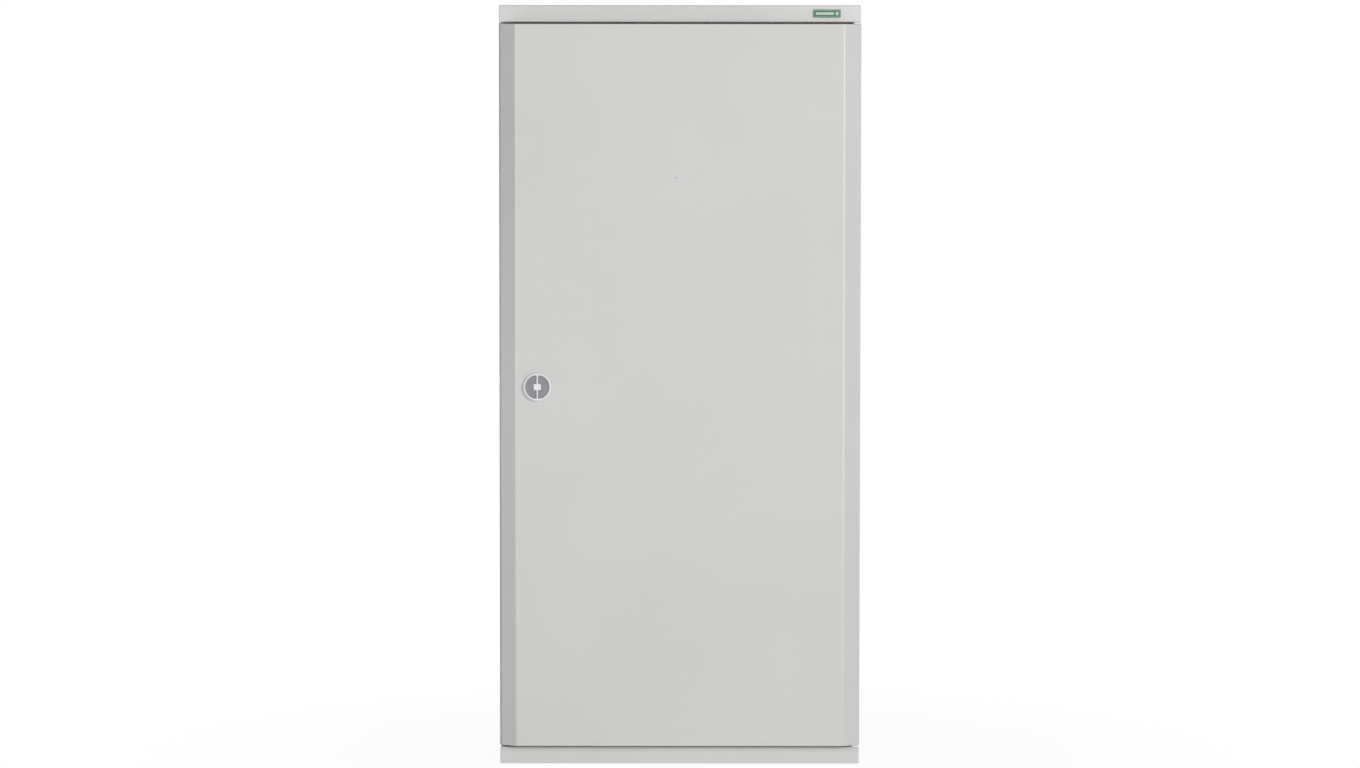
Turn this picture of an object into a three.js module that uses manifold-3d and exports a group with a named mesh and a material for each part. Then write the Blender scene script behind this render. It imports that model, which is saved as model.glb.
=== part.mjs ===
// Industrial switchboard cabinet: a sheet-steel wall cabinet, 600 x 1260 x 180 mm, with a hinged door,
// a three-point rotary lock and a modular interior of rails, switchgear and cover plates.
// Millimetres, +Z up, the door faces -Y, the origin is the centre of the underside.
import * as THREE from "three";
import { mergeVertices } from "three/addons/utils/BufferGeometryUtils.js";
import Module from "manifold-3d";

const wasm = await Module();
wasm.setup();

// ---- Driving dimensions ----------------------------------------------------------------------

const WIDTH = 600;
const HEIGHT = 1260;
const DEPTH = 180; // wall plane to the door's front face
const SHEET = 1.5; // steel sheet of the shell and the door
const BAND = 28; // height of the front bands above and below the door
const DOOR_GAP = 3; // between the door and each band
const HINGE_SIDE_INSET = 0.8; // the door's edges lie this far inside the shell's sides
const LOCK_SIDE_INSET = 3;
const COVER_INSET = 1.4; // and the covers' ends this far
const FACE_WIDTH = 542.4; // the door's flat front, between its folded side slopes
const CHAMFER_DEPTH = 15; // depth of the slopes, from front to back
const DOOR_RETURN = 18; // depth of the door's edges behind the slopes
const HEM = 18; // width of the door's inner rim, which carries the seal
const LIP_WIDTH = 24; // width of the side panels' sealing lips
const COVER_LIP = 26; // height of the covers' sealing lips
const SIDE_FLANGE = 20; // width of the side panels' rear flanges
const END_FLANGE = 14; // width of their end flanges, which rest on the covers
const FIT = 0.3; // assembly gap between neighbouring pieces
const CLEAR = 5; // how far a cutting tool runs past the sheet that it cuts

const HALF = WIDTH / 2;
const COVER_HALF = HALF - COVER_INSET;
const BACK_Y = DEPTH / 2;
const FRONT_Y = -DEPTH / 2;
const BAND_Y = FRONT_Y + CHAMFER_DEPTH; // front plane of the bands
const RIM_Y = BAND_Y + DOOR_RETURN; // rear plane of the door
const LIP_Y = RIM_Y + 5.5; // front plane of the sealing lip
const DOOR_LEFT = -HALF + LOCK_SIDE_INSET;
const DOOR_RIGHT = HALF - HINGE_SIDE_INSET;
const DOOR_BOTTOM = BAND + DOOR_GAP;
const DOOR_TOP = HEIGHT - BAND - DOOR_GAP;
const SHELL_BOTTOM = BAND + FIT; // side and back panels stand between the covers' skirts
const SHELL_TOP = HEIGHT - BAND - FIT;

// Hinge: a pin in each cover, inside the door's right-hand corners.
const HINGE_X = HALF - 8;
const HINGE_Y = RIM_Y - 7;
const PIN_RADIUS = 3;
const PIN_IN_DOOR = 20;
const PIN_IN_COVER = 12;
const COLLAR_RADIUS = 4.8;
const COLLAR_HEIGHT = 1.2;
const BUSH_HALF_WIDTH = 5.5;
const BUSH_Y = [BAND_Y + FIT, HINGE_Y + 6];

// Lock: a turning handle at mid-height, whose pinion drives two rods.
const LOCK_X = -235.7;
const LOCK_Z = HEIGHT / 2;
const HANDLE_RADIUS = 22.8;
const POCKET_RADIUS = 20.2;
const POCKET_SWEEP = THREE.MathUtils.degToRad(81); // half the angle of a pocket's arc
const POCKET_CORNER = 2; // height of the rounding at the ends of the web
const WEB_WIDTH = 2.4;
const HUB_WIDTH = 12;
const HUB_HEIGHT = 10;
const HUB_STEP = 0.8; // the hub stands this far in front of the ring
const HANDLE_FRONT = FRONT_Y - 6.2;
const POCKET_FLOOR = HANDLE_FRONT + 2.2;
const SKIRT_WALL = 0.8;
const DISC_THICKNESS = 1;
const HOUSING_FRONT = POCKET_FLOOR + DISC_THICKNESS + 0.2;
const HOUSING_FLANGE = 19.5;
const HOUSING_NECK = 15;
const SPINDLE_RADIUS = 5.9;
const SQUARE_HALF = 3.5; // the spindle's square end, which carries the tongue
const TONGUE_Y = LIP_Y + 2; // the tongue turns just behind the sealing lip
const TONGUE_REACH = 50;
const TONGUE_HALF_WIDTH = 8;
const TONGUE_SHEET = 2.2;
const GEAR_MODULE = 2;
const PINION_TEETH = 12;
const PRESSURE_ANGLE = THREE.MathUtils.degToRad(20);
const BACKLASH = 0.3;
const PINION_ADDENDUM = 1.6;
const RACK_ADDENDUM = 1.3;
const RACK_DEDENDUM = 2;
const PITCH_RADIUS = (GEAR_MODULE * PINION_TEETH) / 2;
const RACK_PITCH = Math.PI * GEAR_MODULE;
const ROD_WIDTH = 9;
const ROD_FRONT = BAND_Y + 6; // the rods run behind the bands
const ROD_BACK = ROD_FRONT + 4;
const ROD_LENGTH = DOOR_TOP - LOCK_Z - 2;
const CASE_FRONT = FRONT_Y + SHEET + FIT;
const CASE_BACK = RIM_Y - 2.5;
const CASE_WALL = 2;
const CASE_HALF_HEIGHT = 48;
const CASE_HALF_WIDTH = PITCH_RADIUS + RACK_DEDENDUM + ROD_WIDTH + CASE_WALL + 2;

// Interior: uprights on the back panel carry the rails and the cover plates.
const UPRIGHT_X = 270; // outer face of each upright
const UPRIGHT_FLANGE = 20;
const UPRIGHT_END = 40; // from the cabinet's top and bottom
const PLATE_Y = -35.8; // front of the cover plates
const PLATE_HALF_WIDTH = 264;
const PLATE_PITCH = 290;
const FIRST_PLATE_Z = 50;
const PLATE_COUNT = 4;
const PLATE_GAP = 1; // between neighbouring cover plates
const RAIL_Y = 16.5; // front of the rails
const RAIL_HEIGHT = 35;
const RAIL_CROWN = 25;
const RAIL_DEPTH = 7.5;
const RAIL_SHEET = 1;
const SLOT_HALF_HEIGHT = 23;
const SLOT_HALF_WIDTH = 211;
const MODULE_WIDTH = 17.5; // one pole of switchgear
const ROW_START_X = -210;
const ROW_END_X = 210;
const DEVICE_BODY = 43; // half heights of a device: its body, its nose and its grip on the rail
const DEVICE_NOSE = 22.3;
const DEVICE_GRIP = 17.9;
const SHOULDER_Y = -27.5;
const NOSE_Y = -41.5;
const LEVER_AXIS_Y = -36.5;
const LEVER_RADIUS = 7;
const LEVER_LENGTH = 14;
const LEVER_TILT = THREE.MathUtils.degToRad(35); // upwards, when the device is on
const TOGGLE_WIDTH = 8;
const BUTTON_X = 22; // the test button's place on its device
const BUTTON_HALF = 4;

// ---- Materials -------------------------------------------------------------------------------

const material = (color, roughness, metalness = 0) =>
  new THREE.MeshStandardMaterial({ color, roughness, metalness });

const paint = material(0xcfd0cd, 0.5);
const zinc = material(0xb9bdc0, 0.35, 1);
const steel = material(0xa4a8ab, 0.3, 1);
const brass = material(0xc9a24b, 0.3, 1);
const foam = material(0x1d1d1f, 0.95);
const handleGrey = material(0xdcdcde, 0.45);
const discGrey = material(0x94939a, 0.6);
const bushWhite = material(0xe4e4e4, 0.5);
const badgeGreen = material(0x2f8a62, 0.4);
const deviceGrey = material(0xe0e0dc, 0.5);
const leverBlack = material(0x202225, 0.4);
const leverRed = material(0xb3261e, 0.4);
const buttonBlue = material(0x2f6fb0, 0.4);
const plateGrey = material(0xdfe0dd, 0.55);
const insulatorGrey = material(0x55585c, 0.6);
const glandGrey = material(0x8c8f90, 0.7);
const pocketPlastic = material(0xbfc3c4, 0.4);
const wireGreen = material(0x3f9b3c, 0.5);

// ---- Solids from three.js geometries -----------------------------------------------------------

function solidFrom(geometry) {
  const loose = geometry.index ? geometry.toNonIndexed() : geometry;
  const bare = new THREE.BufferGeometry();
  bare.setAttribute("position", loose.getAttribute("position"));
  const merged = mergeVertices(bare, 1e-3);
  return new wasm.Manifold(
    new wasm.Mesh({
      numProp: 3,
      vertProperties: merged.attributes.position.array,
      triVerts: new Uint32Array(merged.index.array),
    }),
  );
}

function geometryFrom(solid) {
  const { vertProperties, triVerts } = solid.getMesh();
  const geometry = new THREE.BufferGeometry();
  geometry.setAttribute("position", new THREE.BufferAttribute(vertProperties, 3));
  geometry.setIndex(new THREE.BufferAttribute(triVerts, 1));
  geometry.computeVertexNormals();
  return geometry;
}

const X = new THREE.Vector3(1, 0, 0);
const Y = new THREE.Vector3(0, 1, 0);
const Z = new THREE.Vector3(0, 0, 1);
const ALONG_X = new THREE.Matrix4().makeBasis(Y, Z, X); // outline drawn in (y, z)
const ALONG_Y = new THREE.Matrix4().makeBasis(X, Z, Y.clone().negate()); // outline drawn in (x, z)

const join = (...solids) => solids.reduce((whole, next) => whole.add(next));
const cut = (solid, ...tools) => tools.reduce((rest, tool) => rest.subtract(tool), solid);

function block([x0, x1], [y0, y1], [z0, z1]) {
  const geometry = new THREE.BoxGeometry(x1 - x0, y1 - y0, z1 - z0);
  return solidFrom(geometry.translate((x0 + x1) / 2, (y0 + y1) / 2, (z0 + z1) / 2));
}

function shapeOf(outline) {
  if (!Array.isArray(outline)) return outline;
  return new THREE.Shape(outline.map(([a, b]) => new THREE.Vector2(a, b)));
}

function extrude(outline, length, curveSegments = 8) {
  return new THREE.ExtrudeGeometry(shapeOf(outline), { depth: length, bevelEnabled: false, curveSegments });
}

const extrudeX = (outline, [x0, x1]) =>
  solidFrom(extrude(outline, x1 - x0).applyMatrix4(ALONG_X).translate(x0, 0, 0));
const extrudeY = (outline, [y0, y1], curveSegments) =>
  solidFrom(extrude(outline, y1 - y0, curveSegments).applyMatrix4(ALONG_Y).translate(0, y1, 0));
const extrudeZ = (outline, [z0, z1]) => solidFrom(extrude(outline, z1 - z0).translate(0, 0, z0));

function cylinderX(radius, [x0, x1], y, z, sides = 16) {
  const geometry = new THREE.CylinderGeometry(radius, radius, x1 - x0, sides).rotateZ(Math.PI / 2);
  return solidFrom(geometry.translate((x0 + x1) / 2, y, z));
}

function cylinderY(radius, x, [y0, y1], z, sides = 24) {
  const geometry = new THREE.CylinderGeometry(radius, radius, y1 - y0, sides);
  return solidFrom(geometry.translate(x, (y0 + y1) / 2, z));
}

function cylinderZ(radius, x, y, [z0, z1], sides = 20, topRadius = radius) {
  const geometry = new THREE.CylinderGeometry(topRadius, radius, z1 - z0, sides).rotateX(Math.PI / 2);
  return solidFrom(geometry.translate(x, y, (z0 + z1) / 2));
}

// The closed outline of a folded sheet. The path follows one face, and the metal lies to its left.
function folded(path, thickness = SHEET) {
  const face = path.map(([a, b]) => new THREE.Vector2(a, b));
  const normals = face.slice(1).map((end, i) => {
    const run = end.clone().sub(face[i]).normalize();
    return new THREE.Vector2(-run.y, run.x);
  });
  const otherFace = face.map((corner, i) => {
    const before = normals[Math.max(i - 1, 0)];
    const after = normals[Math.min(i, normals.length - 1)];
    const mitre = thickness / (1 + before.dot(after));
    return corner.clone().addScaledVector(before.clone().add(after), mitre);
  });
  return [...face, ...otherFace.reverse()].map((corner) => [corner.x, corner.y]);
}

const mirrored = (path) => path.map(([a, b]) => [-a, b]).reverse();

function piece(group, name, surface, solid) {
  const mesh = new THREE.Mesh(geometryFrom(solid), surface);
  mesh.name = name;
  group.add(mesh);
  return mesh;
}

function groupAt(parent, x, y, z) {
  const group = new THREE.Group();
  group.position.set(x, y, z);
  parent.add(group);
  return group;
}

// ---- Shell: back panel, side panels, and two folded covers with gland plates -------------------

const WALL_HOLE = { radius: 4.5, x: 240, fromEnd: 80 };

function backPanel() {
  const { radius, x, fromEnd } = WALL_HOLE;
  const sheet = block([-HALF, HALF], [BACK_Y - SHEET, BACK_Y], [SHELL_BOTTOM, SHELL_TOP]);
  const wallHoles = [-x, x].flatMap((holeX) =>
    [fromEnd, HEIGHT - fromEnd].map((z) => cylinderY(radius, holeX, [BACK_Y - CLEAR, BACK_Y + CLEAR], z, 16)),
  );
  return cut(sheet, ...wallHoles);
}

// A side: sealing lip at the front, the side itself, a flange on the back panel, and one at each end.
function sidePanel(side) {
  const flangeY = BACK_Y - SHEET - FIT;
  const right = [
    [HALF - LIP_WIDTH, LIP_Y],
    [HALF, LIP_Y],
    [HALF, flangeY],
    [HALF - SIDE_FLANGE, flangeY],
  ];
  const x = side > 0 ? [HALF - END_FLANGE, HALF] : [-HALF, END_FLANGE - HALF];
  const endFlange = (z) => block(x, [LIP_Y, flangeY], [z, z + SHEET]);
  return join(
    extrudeZ(folded(side > 0 ? right : mirrored(right)), [SHELL_BOTTOM, SHELL_TOP]),
    endFlange(SHELL_BOTTOM),
    endFlange(SHELL_TOP - SHEET),
  );
}

// The covers are one folded tray each. This is the top one, drawn upwards from its band's lower edge,
// and the bottom one is the same tray turned over.
const GLAND_X = 230; // the cable opening
const GLAND_Y = [12, 76];

function coverTray() {
  const lipInset = HALF - LIP_WIDTH - FIT;
  const section = folded([
    [BACK_Y, 0],
    [BACK_Y, BAND],
    [BAND_Y, BAND],
    [BAND_Y, 0],
    [LIP_Y + SHEET, 0],
  ]);
  const tray = extrudeX(section, [-COVER_HALF, COVER_HALF]);
  const skirt = (x0) => block([x0, x0 + SHEET], [BAND_Y, BACK_Y], [0, BAND]);
  const sealingLip = block([-lipInset, lipInset], [LIP_Y, LIP_Y + SHEET], [-COVER_LIP, SHEET]);
  const opening = block([-GLAND_X, GLAND_X], GLAND_Y, [BAND - CLEAR, BAND + CLEAR]);
  const pinHole = cylinderZ(PIN_RADIUS + FIT, HINGE_X, HINGE_Y, [-CLEAR, CLEAR]);
  return cut(
    join(tray, skirt(-COVER_HALF), skirt(COVER_HALF - SHEET), sealingLip),
    opening,
    pinHole,
  );
}

// The opening that a lock rod needs in a sheet at height z.
function rodHole(side, z) {
  const x = rodCentre(side);
  const play = 1;
  const half = ROD_WIDTH / 2 + play;
  return block([x - half, x + half], [ROD_FRONT - play, ROD_BACK + play], [z - CLEAR, z + CLEAR]);
}

function topCover() {
  return cut(coverTray().translate(0, 0, HEIGHT - BAND), rodHole(-1, HEIGHT - BAND));
}

function bottomCover() {
  return cut(coverTray().scale([1, 1, -1]).translate(0, 0, BAND), rodHole(1, BAND));
}

// A moulded entry plate behind each cover's opening, with hollow cones to be cut open for cables.
const GLAND_MARGIN = { x: 12, y: 9 };
const GLAND_SHEET = 2;
const ENTRY_COUNT = 8;
const ENTRY_RADII = [24, 18];
const ENTRY_TAPER = 0.55;
const ENTRY_DEPTH = 16;
const ENTRY_WALL = 1.5;

function glandPlate() {
  const middle = (GLAND_Y[0] + GLAND_Y[1]) / 2;
  const pitch = (2 * GLAND_X) / ENTRY_COUNT;
  let plate = block(
    [-GLAND_X - GLAND_MARGIN.x, GLAND_X + GLAND_MARGIN.x],
    [GLAND_Y[0] - GLAND_MARGIN.y, GLAND_Y[1] + GLAND_MARGIN.y],
    [-GLAND_SHEET, 0],
  );
  for (let i = 0; i < ENTRY_COUNT; i++) {
    const x = pitch * (i + 0.5) - GLAND_X;
    const mouth = ENTRY_RADII[i % ENTRY_RADII.length];
    const tip = mouth * ENTRY_TAPER;
    plate = plate.add(cylinderZ(tip, x, middle, [-ENTRY_DEPTH, -1], 16, mouth));
    plate = plate.subtract(
      cylinderZ(tip - ENTRY_WALL, x, middle, [GLAND_SHEET - ENTRY_DEPTH, 1], 16, mouth - ENTRY_WALL),
    );
  }
  return plate;
}

// A hinge pin with its collar, drawn for the top cover: it hangs from the lip into the door.
function hingePin() {
  const collar = [SHEET + FIT, SHEET + FIT + COLLAR_HEIGHT];
  return join(
    cylinderZ(PIN_RADIUS, HINGE_X, HINGE_Y, [-PIN_IN_DOOR, PIN_IN_COVER], 16),
    cylinderZ(COLLAR_RADIUS, HINGE_X, HINGE_Y, collar, 16),
  );
}

// A square spacer round the pin, which fills the gap between a band and the door from height z up.
function hingeBush(z) {
  return cut(
    block([HINGE_X - BUSH_HALF_WIDTH, HINGE_X + BUSH_HALF_WIDTH], BUSH_Y, [z + FIT, z + DOOR_GAP - FIT]),
    cylinderZ(PIN_RADIUS + FIT, HINGE_X, HINGE_Y, [z - CLEAR, z + CLEAR], 24),
  );
}

const BADGE = { x: 242.2, z: HEIGHT - 13.6, width: 45.5, height: 13, corner: 1.6, thickness: 1.3 };

function nameBadge() {
  const [w, h, r] = [BADGE.width / 2, BADGE.height / 2, BADGE.corner];
  const outline = new THREE.Shape();
  outline.absarc(w - r, h - r, r, 0, Math.PI / 2);
  outline.absarc(-w + r, h - r, r, Math.PI / 2, Math.PI);
  outline.absarc(-w + r, -h + r, r, Math.PI, 1.5 * Math.PI);
  outline.absarc(w - r, -h + r, r, 1.5 * Math.PI, 2 * Math.PI);
  outline.closePath();
  const back = BAND_Y - 0.2;
  return extrudeY(outline, [back - BADGE.thickness, back], 4).translate(BADGE.x, 0, BADGE.z);
}

// ---- Door: a folded tray with its seal, stiffener, guides and document pocket -------------------

function doorPanel() {
  const section = [
    [DOOR_LEFT + HEM, RIM_Y],
    [DOOR_LEFT, RIM_Y],
    [DOOR_LEFT, BAND_Y],
    [-FACE_WIDTH / 2, FRONT_Y],
    [FACE_WIDTH / 2, FRONT_Y],
    [DOOR_RIGHT, BAND_Y],
    [DOOR_RIGHT, RIM_Y],
    [DOOR_RIGHT - HEM, RIM_Y],
  ];
  const end = section.slice(1, -1);
  const hemX = [DOOR_LEFT + HEM, DOOR_RIGHT - HEM];
  const hemY = [RIM_Y - SHEET, RIM_Y];
  const tray = join(
    extrudeZ(folded(section), [DOOR_BOTTOM, DOOR_TOP]),
    extrudeZ(end, [DOOR_TOP - SHEET, DOOR_TOP]),
    extrudeZ(end, [DOOR_BOTTOM, DOOR_BOTTOM + SHEET]),
    block(hemX, hemY, [DOOR_TOP - HEM, DOOR_TOP]),
    block(hemX, hemY, [DOOR_BOTTOM, DOOR_BOTTOM + HEM]),
  );
  const pinHole = (z) => cylinderZ(PIN_RADIUS + FIT, HINGE_X, HINGE_Y, [z - CLEAR, z + CLEAR]);
  const neckHole = cylinderY(HOUSING_NECK + FIT, LOCK_X, [FRONT_Y - CLEAR, FRONT_Y + CLEAR], LOCK_Z);
  return cut(
    tray,
    neckHole,
    pinHole(DOOR_TOP),
    pinHole(DOOR_BOTTOM),
    rodHole(-1, DOOR_TOP),
    rodHole(1, DOOR_BOTTOM),
  );
}

// A foam frame on the door's rim, closed against the sealing lip.
const GASKET_INSET = 6;
const GASKET_WIDTH = 10;

function doorGasket() {
  const [front, back] = [RIM_Y + 0.2, LIP_Y - 0.5];
  const frame = (edge, y) =>
    block([-HALF + edge, HALF - edge], y, [DOOR_BOTTOM + edge, DOOR_TOP - edge]);
  return cut(
    frame(GASKET_INSET, [front, back]),
    frame(GASKET_INSET + GASKET_WIDTH, [front - CLEAR, back + CLEAR]),
  );
}

// A hat-shaped section behind the door's face, on the hinge side of the middle.
const STIFFENER = { x: 200, foot: 35, web: 20, crown: 16, depth: 12, sheet: 1.2, fromEnd: 70 };

function doorStiffener() {
  const { x, foot, web, crown, depth, sheet, fromEnd } = STIFFENER;
  const half = [
    [crown, CASE_FRONT + depth],
    [web, CASE_FRONT],
    [foot, CASE_FRONT],
  ];
  const hat = folded([...mirrored(half), ...half], sheet);
  return extrudeZ(hat, [fromEnd, HEIGHT - fromEnd]).translate(x, 0, 0);
}

const GUIDE = { halfWidth: 11, halfHeight: 9, wall: 4, play: 0.4, fromEnd: 70 };

function rodGuide(side, z) {
  const { halfWidth, halfHeight, wall, play } = GUIDE;
  const x = rodCentre(side);
  const slot = ROD_WIDTH / 2 + play;
  const tall = halfHeight + CLEAR;
  return cut(
    block([x - halfWidth, x + halfWidth], [CASE_FRONT, ROD_BACK + wall], [z - halfHeight, z + halfHeight]),
    block([x - slot, x + slot], [ROD_FRONT - play, ROD_BACK + play], [z - tall, z + tall]),
  );
}

const DOCUMENTS = { x: [-130, 110], z: [470, 660], depth: 22, wall: 2, notchInset: 30, notchDepth: 35 };

function documentPocket() {
  const { x, z, depth, wall, notchInset, notchDepth } = DOCUMENTS;
  const back = CASE_FRONT + depth;
  const top = z[1] + CLEAR;
  return cut(
    block(x, [CASE_FRONT, back], z),
    block([x[0] + wall, x[1] - wall], [CASE_FRONT + wall, back - wall], [z[0] + wall, top]),
    block([x[0] + notchInset, x[1] - notchInset], [back - CLEAR, back + CLEAR], [z[1] - notchDepth, top]),
  );
}

// A slack earth wire from a stud on the right side panel to one on the door, beside the hinge.
const WIRE_RADIUS = 1.8;

function earthWire() {
  const route = new THREE.CatmullRomCurve3([
    new THREE.Vector3(293, 4, 330),
    new THREE.Vector3(289, -14, 316),
    new THREE.Vector3(280, -32, 290),
    new THREE.Vector3(271.5, -47, 268),
    new THREE.Vector3(263, -60, 262),
    new THREE.Vector3(252, -72, 276),
    new THREE.Vector3(246, -82, 306),
  ]);
  const section = new THREE.Shape();
  section.absarc(0, 0, WIRE_RADIUS, 0, 2 * Math.PI);
  const geometry = new THREE.ExtrudeGeometry(section, { extrudePath: route, steps: 20, curveSegments: 4 });
  return solidFrom(geometry);
}

// ---- Lock: handle, spindle with pinion, tongue, and rods with racks -----------------------------
// These are drawn round the lock's own centre, (0, 0) in (x, z).

// The two D-shaped finger pockets either side of the web, with rounded corners at the web's ends.
function pocketShape(side) {
  const web = WEB_WIDTH / 2;
  const [endX, endZ] = [POCKET_RADIUS * Math.cos(POCKET_SWEEP), POCKET_RADIUS * Math.sin(POCKET_SWEEP)];
  const straight = endZ - POCKET_CORNER;
  const right = new THREE.Path();
  right.moveTo(web, -straight);
  right.quadraticCurveTo(web, -endZ, endX, -endZ);
  right.absarc(0, 0, POCKET_RADIUS, -POCKET_SWEEP, POCKET_SWEEP);
  right.quadraticCurveTo(web, endZ, web, straight);
  right.closePath();
  const points = right.getPoints(10);
  return new THREE.Path(side > 0 ? points : points.map((p) => new THREE.Vector2(-p.x, p.y)));
}

function turnHandle() {
  const face = new THREE.Shape();
  face.absarc(0, 0, HANDLE_RADIUS, 0, 2 * Math.PI);
  face.holes.push(pocketShape(1), pocketShape(-1));
  const faceBack = POCKET_FLOOR - 0.1;
  const skirtEnd = FRONT_Y - 0.6;
  const skirt = cut(
    cylinderY(HANDLE_RADIUS, 0, [faceBack - 0.5, skirtEnd], 0, 48),
    cylinderY(HANDLE_RADIUS - SKIRT_WALL, 0, [faceBack, skirtEnd + CLEAR], 0, 48),
    cylinderY(HANDLE_RADIUS - 2 * SKIRT_WALL, 0, [faceBack - CLEAR, faceBack + CLEAR], 0, 48),
  );
  const hub = block(
    [-HUB_WIDTH / 2, HUB_WIDTH / 2],
    [HANDLE_FRONT - HUB_STEP, faceBack],
    [-HUB_HEIGHT / 2, HUB_HEIGHT / 2],
  );
  return join(extrudeY(face, [HANDLE_FRONT, faceBack], 24), skirt, hub);
}

function handleDisc() {
  const radius = HANDLE_RADIUS - SKIRT_WALL - FIT;
  return cylinderY(radius, 0, [POCKET_FLOOR, POCKET_FLOOR + DISC_THICKNESS], 0, 48);
}

// A fixed flanged bush through the door, hidden behind the handle.
function lockHousing() {
  return cut(
    join(
      cylinderY(HOUSING_FLANGE, 0, [HOUSING_FRONT, FRONT_Y - 0.2], 0, 32),
      cylinderY(HOUSING_NECK, 0, [HOUSING_FRONT, FRONT_Y + SHEET + 0.1], 0, 32),
    ),
    cylinderY(SPINDLE_RADIUS + FIT, 0, [HOUSING_FRONT - CLEAR, FRONT_Y + CLEAR], 0),
  );
}

// Half the angle that an involute tooth fills at a given radius.
function toothHalfAngle(radius) {
  const baseRadius = PITCH_RADIUS * Math.cos(PRESSURE_ANGLE);
  const involute = (angle) => Math.tan(angle) - angle;
  const atPitch = Math.PI / (2 * PINION_TEETH) - BACKLASH / (2 * PITCH_RADIUS);
  const pressure = Math.acos(baseRadius / Math.max(radius, baseRadius));
  return atPitch + involute(PRESSURE_ANGLE) - involute(pressure);
}

function pinionOutline() {
  const clearance = 0.5;
  const root = PITCH_RADIUS - RACK_ADDENDUM - clearance;
  const tip = PITCH_RADIUS + PINION_ADDENDUM;
  const base = PITCH_RADIUS * Math.cos(PRESSURE_ANGLE);
  const flank = [root, base, (base + tip) / 2, tip];
  const outline = [];
  for (let tooth = 0; tooth < PINION_TEETH; tooth++) {
    const centre = (2 * Math.PI * tooth) / PINION_TEETH;
    const at = (radius, sign) => {
      const angle = centre + sign * toothHalfAngle(radius);
      return [radius * Math.cos(angle), radius * Math.sin(angle)];
    };
    outline.push(...flank.map((radius) => at(radius, -1)));
    outline.push(...flank.reverse().map((radius) => at(radius, 1)));
    flank.reverse();
  }
  return outline;
}

function lockSpindle() {
  const squareFrom = TONGUE_Y - 0.5;
  const squareEnd = TONGUE_Y + TONGUE_SHEET + 0.5;
  return join(
    cylinderY(SPINDLE_RADIUS, 0, [HOUSING_FRONT, squareFrom], 0, 20),
    block([-SQUARE_HALF, SQUARE_HALF], [squareFrom - 1, squareEnd], [-SQUARE_HALF, SQUARE_HALF]),
    extrudeY(pinionOutline(), [ROD_FRONT - 2, ROD_BACK + 2]),
  );
}

// The tongue hangs down when the door is free, and turns behind the left sealing lip to hold it.
function lockTongue() {
  const half = TONGUE_HALF_WIDTH;
  const shoulder = half / 2;
  const nick = 3;
  const outline = new THREE.Shape();
  outline.moveTo(half, shoulder);
  outline.absarc(0, shoulder, half, 0, Math.PI);
  outline.lineTo(-half, -TONGUE_REACH + nick);
  outline.lineTo(-half + nick, -TONGUE_REACH);
  outline.lineTo(half - nick, -TONGUE_REACH);
  outline.lineTo(half, -TONGUE_REACH + nick);
  outline.closePath();
  const bore = SQUARE_HALF + FIT;
  const square = block([-bore, bore], [TONGUE_Y - CLEAR, TONGUE_Y + CLEAR], [-bore, bore]);
  return cut(extrudeY(outline, [TONGUE_Y, TONGUE_Y + TONGUE_SHEET]), square);
}

function lockCase() {
  const inner = CASE_HALF_WIDTH - CASE_WALL;
  const top = CASE_HALF_HEIGHT;
  const play = 0.5;
  const slot = (side) => {
    const x = side * (PITCH_RADIUS + RACK_DEDENDUM + ROD_WIDTH / 2);
    const half = ROD_WIDTH / 2 + play;
    const end = -side * top;
    return block([x - half, x + half], [ROD_FRONT - play, ROD_BACK + play], [end - CLEAR, end + CLEAR]);
  };
  return cut(
    block([-CASE_HALF_WIDTH, CASE_HALF_WIDTH], [CASE_FRONT, CASE_BACK], [-top, top]),
    block(
      [-inner, inner],
      [CASE_FRONT + CASE_WALL, CASE_BACK - CASE_WALL],
      [-top + CASE_WALL, top - CASE_WALL],
    ),
    cylinderY(SPINDLE_RADIUS + FIT, 0, [CASE_FRONT - CLEAR, CASE_BACK + CLEAR], 0),
    slot(-1),
    slot(1),
  );
}

// A flat rod with a rack at its inner end. The left rod (side -1) rises and the right one drops as
// the handle turns clockwise. Heights are measured from the lock's centre, along the rod.
const TEETH_BELOW = 5;
const TEETH_ABOVE = 2;

function rodOutline(side) {
  const pitchX = PITCH_RADIUS;
  const rootX = pitchX + RACK_DEDENDUM;
  const tipX = pitchX - RACK_ADDENDUM;
  const backX = rootX + ROD_WIDTH;
  const slope = Math.tan(PRESSURE_ANGLE);
  const atPitch = RACK_PITCH / 4 - BACKLASH / 2;
  const rootHalf = atPitch + RACK_DEDENDUM * slope;
  const tipHalf = atPitch - RACK_ADDENDUM * slope;
  const point = 2;
  const foot = -TEETH_BELOW * RACK_PITCH - 2;
  const outline = [
    [backX, ROD_LENGTH - point],
    [backX, foot],
    [rootX, foot],
  ];
  for (let tooth = -TEETH_BELOW; tooth < TEETH_ABOVE; tooth++) {
    const centre = (tooth + 0.5) * RACK_PITCH;
    outline.push(
      [rootX, centre - rootHalf],
      [tipX, centre - tipHalf],
      [tipX, centre + tipHalf],
      [rootX, centre + rootHalf],
    );
  }
  outline.push([rootX, ROD_LENGTH - point], [rootX + point, ROD_LENGTH], [backX - point, ROD_LENGTH]);
  return outline.map(([x, along]) => [side * x, -side * along]);
}

const lockRod = (side) => extrudeY(rodOutline(side), [ROD_FRONT, ROD_BACK]);

function rodCentre(side) {
  return LOCK_X + side * (PITCH_RADIUS + RACK_DEDENDUM + ROD_WIDTH / 2);
}

// ---- Interior: uprights, rails, bars, cover plates and blanking strips ---------------------------

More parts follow.
